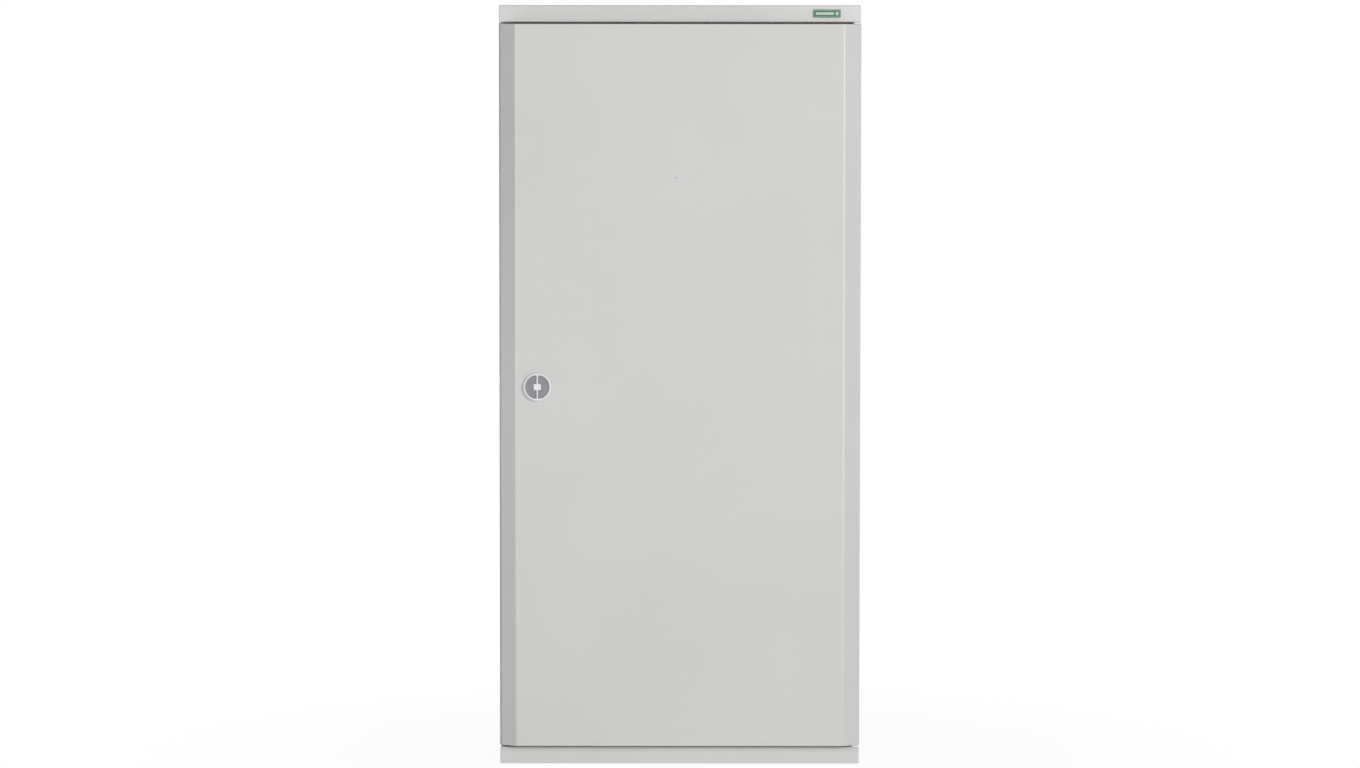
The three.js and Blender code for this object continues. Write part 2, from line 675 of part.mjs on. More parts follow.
function frameUpright(side) {
  const front = PLATE_Y + SHEET + 0.5;
  const back = BACK_Y - SHEET - FIT;
  const right = [
    [UPRIGHT_X - UPRIGHT_FLANGE, front],
    [UPRIGHT_X, front],
    [UPRIGHT_X, back],
    [UPRIGHT_X - UPRIGHT_FLANGE, back],
  ];
  return extrudeZ(folded(side > 0 ? right : mirrored(right)), [UPRIGHT_END, HEIGHT - UPRIGHT_END]);
}

// A top-hat rail between the uprights, drawn round its own centre line.
function dinRail() {
  const length = UPRIGHT_X - SHEET - FIT;
  const [edge, crown, depth] = [RAIL_HEIGHT / 2, RAIL_CROWN / 2, RAIL_DEPTH - RAIL_SHEET];
  const hat = folded(
    [
      [0, edge],
      [0, crown],
      [depth, crown],
      [depth, -crown],
      [0, -crown],
      [0, -edge],
    ],
    RAIL_SHEET,
  );
  return extrudeX(hat, [-length, length]);
}

// A brass terminal bar with a row of screw bores.
const BAR = { halfLength: 190, y: [38, 49.7], halfHeight: 6, bores: 12, boreRadius: 2.6, boreSpan: 330 };

function terminalBar() {
  const { halfLength, y, halfHeight, bores, boreRadius, boreSpan } = BAR;
  let bar = block([-halfLength, halfLength], y, [-halfHeight, halfHeight]);
  for (let i = 0; i < bores; i++) {
    const x = boreSpan * (i / (bores - 1) - 0.5);
    bar = bar.subtract(cylinderY(boreRadius, x, [y[0] - CLEAR, y[0] + CLEAR], 0, 10));
  }
  return bar;
}

function barSupport(side) {
  const [near, far] = [178, 206];
  const x = side > 0 ? [near, far] : [-far, -near];
  return block(x, [BAR.y[1] + FIT, BACK_Y - SHEET - FIT], [110, 270]);
}

function coverPlate(index, hasSlot) {
  const z = FIRST_PLATE_Z + index * PLATE_PITCH;
  const plate = block(
    [-PLATE_HALF_WIDTH, PLATE_HALF_WIDTH],
    [PLATE_Y, PLATE_Y + SHEET],
    [z + PLATE_GAP / 2, z + PLATE_PITCH - PLATE_GAP / 2],
  );
  if (!hasSlot) return plate;
  const row = z + PLATE_PITCH / 2;
  const slot = block(
    [-SLOT_HALF_WIDTH, SLOT_HALF_WIDTH],
    [PLATE_Y - CLEAR, PLATE_Y + CLEAR],
    [row - SLOT_HALF_HEIGHT, row + SLOT_HALF_HEIGHT],
  );
  return plate.subtract(slot);
}

// Closes the unused end of a slot, from x to the row's right-hand end. Drawn round the row's centre line.
function blankingStrip(x) {
  const from = x + FIT;
  const [overlap, play] = [1.5, 0.5];
  const front = [PLATE_Y - 1.6, PLATE_Y - 0.2];
  const faceHalf = SLOT_HALF_HEIGHT + overlap;
  const bodyHalf = SLOT_HALF_HEIGHT - play;
  return join(
    block([from, ROW_END_X + 4], front, [-faceHalf, faceHalf]),
    block([from, ROW_END_X], [PLATE_Y - 0.4, PLATE_Y + 3], [-bodyHalf, bodyHalf]),
  );
}

// ---- Switchgear: rail-mounted housings with a tilting lever ---------------------------------------
// Drawn round the device's centre line: x across the poles, z = 0 at the rail's centre.

function deviceHousing(width, leverX, leverWidth) {
  const half = width / 2 - 0.2;
  const [rear, recess] = [RAIL_Y + 4.5, RAIL_Y - FIT];
  const upper = [
    [recess, DEVICE_GRIP],
    [rear, DEVICE_GRIP],
    [rear, DEVICE_BODY],
    [SHOULDER_Y, DEVICE_BODY],
    [SHOULDER_Y, DEVICE_NOSE],
    [NOSE_Y, DEVICE_NOSE],
  ];
  const lower = upper.map(([y, z]) => [y, -z]).reverse();
  const leverHalf = leverWidth / 2 + 0.5;
  const slotHalf = LEVER_RADIUS + 1.5;
  const leverSlot = block(
    [leverX - leverHalf, leverX + leverHalf],
    [NOSE_Y - CLEAR, LEVER_AXIS_Y + LEVER_RADIUS + 0.6],
    [-slotHalf, slotHalf],
  );
  return extrudeX([...upper, ...lower], [-half, half]).subtract(leverSlot);
}

function deviceLever(x, width) {
  const span = [x - width / 2, x + width / 2];
  const [root, rootHalf, tipHalf] = [3, 2.5, 1.5];
  const blade = [
    [root, -rootHalf],
    [-LEVER_LENGTH, -tipHalf],
    [-LEVER_LENGTH, tipHalf],
    [root, rootHalf],
  ].map(([y, z]) => [
    LEVER_AXIS_Y + y * Math.cos(LEVER_TILT) + z * Math.sin(LEVER_TILT),
    -y * Math.sin(LEVER_TILT) + z * Math.cos(LEVER_TILT),
  ]);
  return cylinderX(LEVER_RADIUS, span, LEVER_AXIS_Y, 0).add(extrudeX(blade, span));
}

// Places a device's housing and lever on a row, and returns the x where the next device starts.
function device(parent, startX, rowZ, { name, lever, poles, leverX = 0, leverWidth, leverMaterial, extra }) {
  const width = poles * MODULE_WIDTH;
  const place = groupAt(parent, startX + width / 2, 0, rowZ);
  const housing = deviceHousing(width, leverX, leverWidth);
  piece(place, name, deviceGrey, extra ? housing.subtract(extra) : housing);
  piece(place, lever, leverMaterial, deviceLever(leverX, leverWidth));
  return { next: startX + width, place };
}

const leverAcross = (poles) => (poles - 1) * MODULE_WIDTH + TOGGLE_WIDTH;

// ---- Assembly --------------------------------------------------------------------------------------

const cabinet = new THREE.Group();

function buildShell() {
  piece(cabinet, "back_panel", paint, backPanel());
  piece(cabinet, "side_panel_left", paint, sidePanel(-1));
  piece(cabinet, "side_panel_right", paint, sidePanel(1));
  piece(cabinet, "top_cover", paint, topCover());
  piece(cabinet, "bottom_cover", paint, bottomCover());
  const inset = SHEET + FIT;
  piece(groupAt(cabinet, 0, 0, HEIGHT - inset), "top_gland_plate", glandGrey, glandPlate());
  piece(groupAt(cabinet, 0, 0, inset), "bottom_gland_plate", glandGrey, glandPlate().scale([1, 1, -1]));
  piece(groupAt(cabinet, 0, 0, HEIGHT - BAND), "hinge_pin_top", steel, hingePin());
  piece(groupAt(cabinet, 0, 0, BAND), "hinge_pin_bottom", steel, hingePin().scale([1, 1, -1]));
  piece(cabinet, "hinge_bush_top", bushWhite, hingeBush(DOOR_TOP));
  piece(cabinet, "hinge_bush_bottom", bushWhite, hingeBush(BAND));
  piece(cabinet, "name_badge", badgeGreen, nameBadge());
  piece(cabinet, "earth_wire", wireGreen, earthWire());
}

function buildInterior() {
  const rowZ = (plate) => FIRST_PLATE_Z + (plate + 0.5) * PLATE_PITCH;
  const rows = { lower: rowZ(1), upper: rowZ(2), main: rowZ(3) };

  piece(cabinet, "frame_upright_left", zinc, frameUpright(-1));
  piece(cabinet, "frame_upright_right", zinc, frameUpright(1));
  for (const [row, z] of Object.entries(rows))
    piece(groupAt(cabinet, 0, RAIL_Y, z), `din_rail_${row}`, zinc, dinRail());

  for (const [name, z] of [["neutral_bar", 240], ["earth_bar", 140]])
    piece(groupAt(cabinet, 0, 0, z), name, brass, terminalBar());
  piece(cabinet, "bar_support_left", insulatorGrey, barSupport(-1));
  piece(cabinet, "bar_support_right", insulatorGrey, barSupport(1));

  for (let plate = 0; plate < PLATE_COUNT; plate++)
    piece(cabinet, `cover_plate_${plate + 1}`, plateGrey, coverPlate(plate, plate > 0));

  const isolator = device(cabinet, ROW_START_X, rows.main, {
    name: "main_switch",
    lever: "main_switch_lever",
    poles: 4,
    leverWidth: leverAcross(4),
    leverMaterial: leverRed,
  });
  const square = (half, y) => block([BUTTON_X - half, BUTTON_X + half], y, [-half, half]);
  const residual = device(cabinet, isolator.next, rows.main, {
    name: "residual_current_device",
    lever: "residual_current_lever",
    poles: 4,
    leverX: -14,
    leverWidth: 22,
    leverMaterial: leverBlack,
    extra: square(BUTTON_HALF + FIT, [NOSE_Y - CLEAR, NOSE_Y + 8]),
  });
  piece(residual.place, "test_button", buttonBlue, square(BUTTON_HALF, [NOSE_Y - 2, NOSE_Y + 4]));

  let breaker = 0;
  const ends = { main: residual.next };
  for (const [row, count] of [["upper", 4], ["lower", 2]]) {
    let x = ROW_START_X;
    for (let i = 0; i < count; i++) {
      breaker += 1;
      x = device(cabinet, x, rows[row], {
        name: `breaker_${breaker}`,
        lever: `breaker_lever_${breaker}`,
        poles: 3,
        leverWidth: leverAcross(3),
        leverMaterial: leverBlack,
      }).next;
    }
    ends[row] = x;
  }
  for (const [row, z] of Object.entries(rows))
    piece(groupAt(cabinet, 0, 0, z), `blanking_strip_${row}`, plateGrey, blankingStrip(ends[row]));
}

function buildDoor() {
  const door = groupAt(cabinet, 0, 0, 0);
  piece(door, "door_panel", paint, doorPanel());
  piece(door, "door_gasket", foam, doorGasket());
  piece(door, "door_stiffener", zinc, doorStiffener());
  piece(door, "rod_guide_upper", insulatorGrey, rodGuide(-1, DOOR_TOP - GUIDE.fromEnd));
  piece(door, "rod_guide_lower", insulatorGrey, rodGuide(1, DOOR_BOTTOM + GUIDE.fromEnd));
  piece(door, "document_pocket", pocketPlastic, documentPocket());

  const lock = groupAt(door, LOCK_X, 0, LOCK_Z);
  piece(lock, "lock_housing", insulatorGrey, lockHousing());
  piece(lock, "lock_case", zinc, lockCase());
  piece(lock, "lock_rod_upper", zinc, lockRod(-1));
  piece(lock, "lock_rod_lower", zinc, lockRod(1));

  const turning = groupAt(lock, 0, 0, 0);
  piece(turning, "turn_handle", handleGrey, turnHandle());
  piece(turning, "handle_disc", discGrey, handleDisc());
  piece(turning, "lock_spindle", steel, lockSpindle());
  piece(turning, "lock_tongue", zinc, lockTongue());
}

buildShell();
buildInterior();
buildDoor();

export default cabinet;
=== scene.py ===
# The looks of an industrial switchboard cabinet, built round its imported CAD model.
# Metres, +Z up, the door faces -Y. Places and outer sizes come from the frame's own boxes.
import math

import bmesh
import bpy
from mathutils import Matrix, Vector


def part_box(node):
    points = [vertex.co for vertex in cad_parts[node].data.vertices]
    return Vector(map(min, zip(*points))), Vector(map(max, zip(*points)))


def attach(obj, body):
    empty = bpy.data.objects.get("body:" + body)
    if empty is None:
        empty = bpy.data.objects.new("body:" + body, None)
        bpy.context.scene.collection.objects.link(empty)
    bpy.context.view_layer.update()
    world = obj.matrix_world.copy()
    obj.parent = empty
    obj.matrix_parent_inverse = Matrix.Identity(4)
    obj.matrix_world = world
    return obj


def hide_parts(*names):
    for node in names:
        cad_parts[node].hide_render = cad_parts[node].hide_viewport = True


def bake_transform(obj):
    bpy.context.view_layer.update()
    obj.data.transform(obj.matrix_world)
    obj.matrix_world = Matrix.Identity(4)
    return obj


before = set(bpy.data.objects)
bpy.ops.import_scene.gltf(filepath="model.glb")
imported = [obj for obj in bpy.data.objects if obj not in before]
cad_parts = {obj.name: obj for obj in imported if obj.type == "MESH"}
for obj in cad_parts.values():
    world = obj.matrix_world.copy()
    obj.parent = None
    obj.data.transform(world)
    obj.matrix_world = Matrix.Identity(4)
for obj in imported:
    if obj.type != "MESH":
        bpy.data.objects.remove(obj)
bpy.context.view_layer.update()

MM = 0.001
SHEET = 1.5 * MM
BEND = 1.7 * MM  # outside radius of a right-angle fold
FACE_HALF = 271.2 * MM  # half the width of the door's flat front
HEM = 18 * MM
FINE = 0.15 * MM  # smallest gap between pieces
JOINT = 0.3 * MM  # gap between a cover and a side panel
SHARP = math.radians(32)  # edges sharper than this are shaded as edges
CORNER = math.radians(20)  # edges sharper than this are rounded
PIN_HOLE = 3.3 * MM  # radius of the holes for the hinge pins

scene = bpy.context.scene

TOP_LOW, TOP_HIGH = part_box("top_cover")
DOOR_LOW, DOOR_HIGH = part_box("door_panel")
SIDE_LOW, SIDE_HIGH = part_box("side_panel_right")
HANDLE_LOW, HANDLE_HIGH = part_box("turn_handle")
HALF_WIDTH = SIDE_HIGH.x
COVER_HALF = TOP_HIGH.x
HEIGHT = TOP_HIGH.z
BACK_Y = TOP_HIGH.y
BAND_Y = TOP_LOW.y
FRONT_Y = DOOR_LOW.y
RIM_Y = DOOR_HIGH.y
LIP_Y = SIDE_LOW.y
LIP_X = SIDE_LOW.x - JOINT
BAND = SIDE_LOW.z - JOINT
PIN_LOW, PIN_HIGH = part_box("hinge_pin_top")
HINGE = (PIN_LOW + PIN_HIGH) / 2
LOCK = (HANDLE_LOW + HANDLE_HIGH) / 2


# ---- Building meshes ----
# box, prism and lathe make a new closed mesh, or add to the mesh given as into.


def setup(thing, **settings):
    """Sets properties of something new and gives it back."""
    for key, value in settings.items():
        setattr(thing, key, value)
    return thing


def face(bm, corners):
    return bm.faces.new([bm.verts.new(c) for c in corners])


def box(low, high, radius=None, segments=2, into=None):
    """A box between two corners. A radius rounds its edges."""
    bm = bmesh.new() if into is None else into
    (x0, y0, z0), (x1, y1, z1) = low, high
    v = [bm.verts.new((x, y, z)) for x in (x0, x1) for y in (y0, y1) for z in (z0, z1)]
    rings = ((0, 1, 3, 2), (4, 6, 7, 5), (0, 4, 5, 1), (2, 3, 7, 6), (0, 2, 6, 4), (1, 5, 7, 3))
    made = [bm.faces.new([v[i] for i in ring]) for ring in rings]
    if radius:
        bevel(bm, radius, segments, made)
    return bm


AXES = {
    "x": lambda a, b, h: (h, a, b),
    "y": lambda a, b, h: (a, h, b),
    "z": lambda a, b, h: (a, b, h),
}


def prism(outline, axis, low, high, radius=None, segments=2, into=None):
    """An outline across one axis, from low to high along it. A radius rounds its edges."""
    bm = bmesh.new() if into is None else into
    put = AXES[axis]
    ends = [[bm.verts.new(put(a, b, h)) for a, b in outline] for h in (low, high)]
    made = [bm.faces.new(ends[0]), bm.faces.new(list(reversed(ends[1])))]
    for i in range(len(outline)):
        j = (i + 1) % len(outline)
        made.append(bm.faces.new([ends[0][j], ends[0][i], ends[1][i], ends[1][j]]))
    if radius:
        bevel(bm, radius, segments, made)
    return bm


def skin(bm, a, b):
    """Joins two rings of vertices. A ring of one vertex is a point."""
    steps = max(len(a), len(b))
    for i in range(steps):
        j = (i + 1) % steps
        corners = [a[i % len(a)], a[j % len(a)], b[j % len(b)], b[i % len(b)]]
        bm.faces.new(list(dict.fromkeys(corners)))


def lathe(profile, axis, centre=(0, 0, 0), steps=48, into=None):
    """Turns a profile of (radius, height) points round an axis. It starts and ends at radius 0, or
    else closes on itself."""
    bm = bmesh.new() if into is None else into
    put, centre = AXES[axis], Vector(centre)
    turned = []
    for radius, height in profile:
        if radius < 1e-7:
            turned.append([bm.verts.new(Vector(put(0, 0, height)) + centre)])
            continue
        ring = []
        for i in range(steps):
            angle = 2 * math.pi * i / steps
            at = put(radius * math.cos(angle), radius * math.sin(angle), height)
            ring.append(bm.verts.new(Vector(at) + centre))
        turned.append(ring)
    if len(turned[0]) > 1:
        turned.append(turned[0])
    for a, b in zip(turned, turned[1:]):
        skin(bm, a, b)
    return bm


def rounded_rectangle(half_width, half_height, radius, steps=6, centre=(0, 0)):
    outline = []
    corners = ((1, 1, 0), (-1, 1, 90), (-1, -1, 180), (1, -1, 270))
    for sx, sy, start in corners:
        for i in range(steps + 1):
            angle = math.radians(start + 90 * i / steps)
            outline.append((
                centre[0] + sx * (half_width - radius) + radius * math.cos(angle),
                centre[1] + sy * (half_height - radius) + radius * math.sin(angle),
            ))
    return outline


def bevel(bm, radius, segments, faces, mark=False):
    """Rounds the faces' sharp edges. With mark, the rounded strips are recorded as bends."""
    scope = {e for f in faces for e in f.edges}
    edges = [e for e in bm.edges if e in scope and e.calc_face_angle(0) > CORNER]
    result = bmesh.ops.bevel(
        bm, geom=edges, offset=radius, segments=segments, profile=0.5, affect="EDGES", clamp_overlap=True
    )
    if mark:
        layer = bm.verts.layers.float.new("bend")
        strips = set(result["faces"])
        for vert in {v for f in strips for v in f.verts}:
            vert[layer] = 1.0 if all(f in strips for f in vert.link_faces) else 0.0


def new_object(name, data, **settings):
    obj = setup(bpy.data.objects.new(name, data), **settings)
    scene.collection.objects.link(obj)
    return obj


def to_object(name, bm):
    """Moves a mesh into a new object of the scene."""
    mesh = bpy.data.meshes.new(name)
    bm.to_mesh(mesh)
    bm.free()
    return new_object(name, mesh)


def discard(obj):
    mesh = obj.data
    bpy.data.objects.remove(obj)
    bpy.data.meshes.remove(mesh)


def through(bm, kind, **settings):
    """The mesh after one modifier. The mesh that goes in is used up."""
    work = to_object("work", bm)
    setup(work.modifiers.new(kind, kind), **settings)
    bpy.context.view_layer.update()
    result = bmesh.new()
    result.from_object(work, bpy.context.evaluated_depsgraph_get())
    discard(work)
    return result


def combine(bm, tool_bm, operation="DIFFERENCE"):
    """Cuts one closed mesh out of another, or joins the two. Both are used up."""
    for closed in (bm, tool_bm):
        bmesh.ops.recalc_face_normals(closed, faces=closed.faces)
    tool = to_object("tool", tool_bm)
    result = through(bm, "BOOLEAN", operation=operation, solver="EXACT", object=tool)
    discard(tool)
    return result


def drill(bm, radius, axis, at, low, high, steps=32):
    """Cuts a round hole along an axis, from low to high beside the point at."""
    return combine(bm, lathe([(0, low), (radius, low), (radius, high), (0, high)], axis, at, steps))


def punch(bm, outline, axis, low, high):
    """Cuts an outline through along an axis."""
    return combine(bm, prism(outline, axis, low, high))


def sheet(faces, outward, radius=BEND, thickness=SHEET):
    """Folded sheet metal: the outer face of every panel, rounded at its folds and thickened inwards."""
    bm = bmesh.new()
    for corners in faces:
        face(bm, corners)
    bmesh.ops.remove_doubles(bm, verts=bm.verts, dist=1e-6)
    bmesh.ops.recalc_face_normals(bm, faces=bm.faces)
    widest = max(bm.faces, key=lambda f: f.calc_area())
    if widest.normal.dot(Vector(outward)) < 0:
        bmesh.ops.reverse_faces(bm, faces=bm.faces)
    bevel(bm, radius, 4, bm.faces, mark=True)
    return through(bm, "SOLIDIFY", thickness=thickness, offset=-1, use_even_offset=True)


def piece(name, bm, material, node=None, body="cabinet", weighted=True):
    """Turns a mesh into a piece of the object that rides on a body, and that may replace a CAD node."""
    bmesh.ops.remove_doubles(bm, verts=bm.verts, dist=1e-7)
    bmesh.ops.recalc_face_normals(bm, faces=bm.faces)
    obj = to_object(name, bm)
    obj.data.shade_smooth()
    obj.data.set_sharp_from_angle(angle=SHARP)
    obj.data.materials.append(material)
    if weighted:
        obj.modifiers.new("normals", "WEIGHTED_NORMAL").keep_sharp = True
    if body:
        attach(obj, body)
    if node:
        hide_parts(node)
    return obj


def copies(source, places):
    """A mesh with the source mesh at each place, which is a 4x4 matrix."""
    bm = bmesh.new()
    mesh = bpy.data.meshes.new("copy")
    source.to_mesh(mesh)
    for place in places:
        before = len(bm.verts)
        bm.from_mesh(mesh)
        bm.verts.ensure_lookup_table()
        bmesh.ops.transform(bm, matrix=place, verts=bm.verts[before:])
    bpy.data.meshes.remove(mesh)
    return bm


TURNS = {
    "-y": Matrix.Identity(4),
    "+y": Matrix.Rotation(math.pi, 4, "Z"),
    "-x": Matrix.Rotation(-math.pi / 2, 4, "Z"),
    "+z": Matrix.Rotation(-math.pi / 2, 4, "X"),
    "-z": Matrix.Rotation(math.pi / 2, 4, "X"),
}


def place(position, facing):
    return Matrix.Translation(position) @ TURNS[facing]


# ---- Materials ----


class Graph:
    """A small builder of shader nodes. Nodes' inputs are given as values or as other nodes' outputs."""

    def __init__(self, owner):
        owner.use_nodes = True
        self.tree = owner.node_tree
        self.tree.nodes.clear()

    def add(self, kind, inputs=None, **settings):
        node = setup(self.tree.nodes.new("ShaderNode" + kind), **settings)
        for key, value in (inputs or {}).items():
            self.put(node.inputs[key], value)
        return node

    def put(self, socket, value):
        if isinstance(value, bpy.types.NodeSocket):
            self.tree.links.new(value, socket)
        else:
            socket.default_value = value


class Surface(Graph):
    """A procedural material. Texture coordinates are in metres."""

    def __init__(self, name, slot):
        self.material = bpy.data.materials.new(name)
        super().__init__(self.material)
        coordinates = self.add("TexCoord")
        self.place = coordinates.outputs["Object"]
        self.facing = coordinates.outputs["Normal"]

    def math(self, operation, a, b=0.0):
        return self.add("Math", {0: a, 1: b}, operation=operation).outputs[0]

    def noise(self, scale, detail=2.0, stretch=None):
        where = self.place
        if stretch:
            where = self.add("Mapping", {"Vector": where, "Scale": stretch}).outputs[0]
        made = self.add("TexNoise", {"Vector": where, "Scale": scale, "Detail": detail})
        return made.outputs["Fac"]

    def cells(self, scale, output="Color"):
        return self.add("TexVoronoi", {"Vector": self.place, "Scale": scale}).outputs[output]

    def spread(self, value, low, high, to_low=0.0, to_high=1.0):
        inputs = {"Value": value, "From Min": low, "From Max": high, "To Min": to_low, "To Max": to_high}
        return self.add("MapRange", inputs).outputs[0]

    def mix(self, factor, a, b, blend_type="MIX"):
        a, b = (v if isinstance(v, bpy.types.NodeSocket) else (*v, 1.0) for v in (a, b))
        node = self.add("Mix", {0: factor, 6: a, 7: b}, data_type="RGBA", blend_type=blend_type)
        return node.outputs[2]

    def bump(self, height, distance, strength=1.0, under=None):
        node = self.add("Bump", {"Height": height, "Distance": distance, "Strength": strength})
        if under is not None:
            self.put(node.inputs["Normal"], under)
        return node.outputs[0]

    def finish(self, colour, roughness, metallic=0.0, normal=None, **extra):
        inputs = {"Roughness": roughness, "Metallic": metallic, **extra}
        inputs["Base Color"] = colour if isinstance(colour, bpy.types.NodeSocket) else (*colour, 1.0)
        if normal is not None:
            inputs["Normal"] = normal
        shader = self.add("BsdfPrincipled", inputs)
        output = self.add("OutputMaterial")
        self.put(output.inputs["Surface"], shader.outputs[0])
        return self.material


def tinted(colour, factor):
    return tuple(min(1.0, c * factor) for c in colour)


def powder_coat(
    name, colour, grain=1.0, specks=(), fold_light=(1.0, 1.0), slope_shade=1.0, ends=(1.0, 1.0), door_shadow=1.0,
    slot="powder_coat",
):
    """Textured powder coat: orange peel, a fine grain and faint cloudiness. The rest are painted light and
    shade: painted highlights on front folds that fade out towards the bottom, a painted factor on side
    folds, painted shade on faces that slope away from the front, painted highlights at its left and right
    ends, and a painted shadow of the door where it reaches the bottom band's upper edge."""
    s = Surface(name, slot)
    cloud = s.spread(s.noise(5.0, 3.0), 0.35, 0.65)
    base = s.mix(cloud, tinted(colour, 0.985), tinted(colour, 1.015))
    mottle = s.spread(s.noise(420.0, 2.0), 0.3, 0.7)
    base = s.mix(s.math("MULTIPLY", mottle, 0.35), base, tinted(colour, 0.955))
    normal_y = s.add("SeparateXYZ", {0: s.facing}).outputs["Y"]
    place = s.add("SeparateXYZ", {0: s.place}).outputs
    # Painted highlights: the paint grows lighter towards its left and right ends.
    left = s.spread(place["X"], -0.30, -0.25, ends[0], 1.0)
    right = s.spread(place["X"], 0.11, 0.27, 1.0, ends[1])
    # Painted shade: faces that slope away from the front are darkened by this factor.
    slope = s.spread(normal_y, -0.96, -0.92, 1.0, slope_shade)
    # Painted shadow of the door: darker from 10 mm below the bottom band's upper edge up to that edge.
    upper = s.spread(place["Z"], BAND - 10 * MM, BAND - 2 * MM, 1.0, door_shadow)
    # All the painted light and shade above, multiplied together.
    painted_light = s.math("MULTIPLY", s.math("MULTIPLY", slope, upper), s.math("MULTIPLY", left, right))
    base = s.add("VectorMath", {0: base, "Scale": painted_light}, operation="SCALE").outputs[0]
    # Painted light on the rounded folds: a painted highlight on front folds that fades out towards the
    # bottom, and a painted factor on side folds, lighter above 1 and darker below 1.
    front_fold_highlight = s.mix(s.spread(place["Z"], 0.05, 0.6), colour, tinted(colour, fold_light[0]))
    fold_light_colour = s.mix(s.spread(normal_y, -0.8, -0.5), front_fold_highlight, tinted(colour, fold_light[1]))
    bend = s.add("Attribute", attribute_name="bend").outputs["Fac"]
    base = s.mix(s.math("MULTIPLY", bend, 0.7), base, fold_light_colour)
    for x, z, radius, depth in specks:
        spot = s.add("VectorMath", {0: s.place, 1: (x, FRONT_Y, z)}, operation="DISTANCE").outputs["Value"]
        mark = s.spread(spot, radius, radius * 0.35, 0.0, depth)
        base = s.mix(mark, base, (0.16, 0.155, 0.15))
    peel = s.bump(s.noise(260.0, 2.0), 0.06 * MM, 0.55 * grain)
    normal = s.bump(s.noise(1500.0, 3.0), 0.03 * MM, 0.5 * grain, peel)
    roughness = s.spread(s.noise(40.0, 3.0), 0.3, 0.7, 0.40, 0.50)
    return s.finish(base, roughness, normal=normal, **{"Specular IOR Level": 0.4})


def zinc(name, colour, roughness):
    """Zinc plate: a fine crystalline spangle over a dull metal."""
    s = Surface(name, "zinc_plate")
    grain = s.add("SeparateColor", {0: s.cells(260.0)}).outputs[0]
    base = s.mix(grain, tinted(colour, 0.93), tinted(colour, 1.06))
    haze = s.spread(s.noise(18.0, 4.0), 0.35, 0.65)
    base = s.mix(s.math("MULTIPLY", haze, 0.2), base, (0.60, 0.58, 0.50))
    rough = s.spread(s.noise(90.0, 3.0), 0.3, 0.7, roughness - 0.07, roughness + 0.1)
    normal = s.bump(s.noise(700.0, 3.0), 0.02 * MM, 0.4)
    return s.finish(base, rough, 1.0, normal)


def turned_metal(name, slot, colour):
    """Drawn or turned metal: fine lines, with slight tarnish."""
    s = Surface(name, slot)
    lines = s.noise(60.0, 4.0, stretch=(1.0, 40.0, 40.0))
    tarnish = s.spread(s.noise(35.0, 4.0), 0.45, 0.75)
    base = s.mix(s.math("MULTIPLY", tarnish, 0.5), colour, tinted(colour, 0.62))
    rough = s.spread(lines, 0.3, 0.7, 0.22, 0.40)
    normal = s.bump(lines, 0.02 * MM, 0.35)
    return s.finish(base, rough, 1.0, normal)


def moulded(name, colour, roughness, grain, scale=900.0, mottle=0.04, slot=None):
    """Moulded plastic: a fine spark-eroded grain and a little variation in colour and gloss."""
    s = Surface(name, slot or name)
    patch = s.spread(s.noise(60.0, 3.0), 0.3, 0.7)
    speck = s.spread(s.noise(scale * 0.6, 2.0), 0.35, 0.65)
    base = s.mix(patch, tinted(colour, 1 - mottle), tinted(colour, 1 + mottle))
    base = s.mix(s.math("MULTIPLY", speck, 0.25), base, tinted(colour, 1 - 2.5 * mottle))
    rough = s.spread(s.noise(120.0, 2.0), 0.3, 0.7, roughness - 0.05, roughness + 0.06)
    normal = s.bump(s.noise(scale, 3.0), 0.04 * MM, grain)
    return s.finish(base, rough, normal=normal)


def foam(name):
    s = Surface(name, name)
    pores = s.cells(1300.0, "Distance")
    base = s.mix(s.spread(pores, 0.0, 0.6), (0.012, 0.012, 0.013), (0.06, 0.06, 0.062))
    return s.finish(base, 0.92, normal=s.bump(pores, 0.25 * MM, 0.7))


def striped_wire(name):
    """Green insulation with a yellow stripe that winds slowly round the wire."""
    s = Surface(name, "wire_insulation")
    winding = s.add("Attribute", attribute_name="winding").outputs["Fac"]
    stripe = s.spread(s.math("ADD", winding, s.math("MULTIPLY", s.noise(300.0), 0.08)), 0.40, 0.50)
    base = s.mix(stripe, (0.04, 0.24, 0.035), (0.70, 0.58, 0.03))
    return s.finish(base, 0.38, normal=s.bump(s.noise(800.0), 0.03 * MM, 0.3))


PAINT = (0.625, 0.622, 0.611)
SPECKS = (  # x, z, radius and depth of each mark
    (-0.007, 0.976, 2.2 * MM, 0.55),
    (0.129, 0.602, 1.3 * MM, 0.40),
    (-0.222, 0.402, 1.2 * MM, 0.35),
    (-0.134, 0.285, 1.1 * MM, 0.30),
    (0.007, 0.273, 1.0 * MM, 0.25),
    (-0.235, 1.158, 1.0 * MM, 0.30),
)
# Painted light: the shell's paint is a shade lighter than the door's.
paint = powder_coat("cabinet_paint", tinted(PAINT, 1.02))
# Painted light on the door: highlights on its front folds, shade on its side folds and sloping sides.
door_paint = powder_coat("door_paint", PAINT, specks=SPECKS, fold_light=(1.22, 0.8), slope_shade=0.93)
# Painted highlights on the top cover's folds and at its two ends.
top_paint = powder_coat("top_paint", PAINT, fold_light=(1.06, 1.08), ends=(1.1, 1.11))
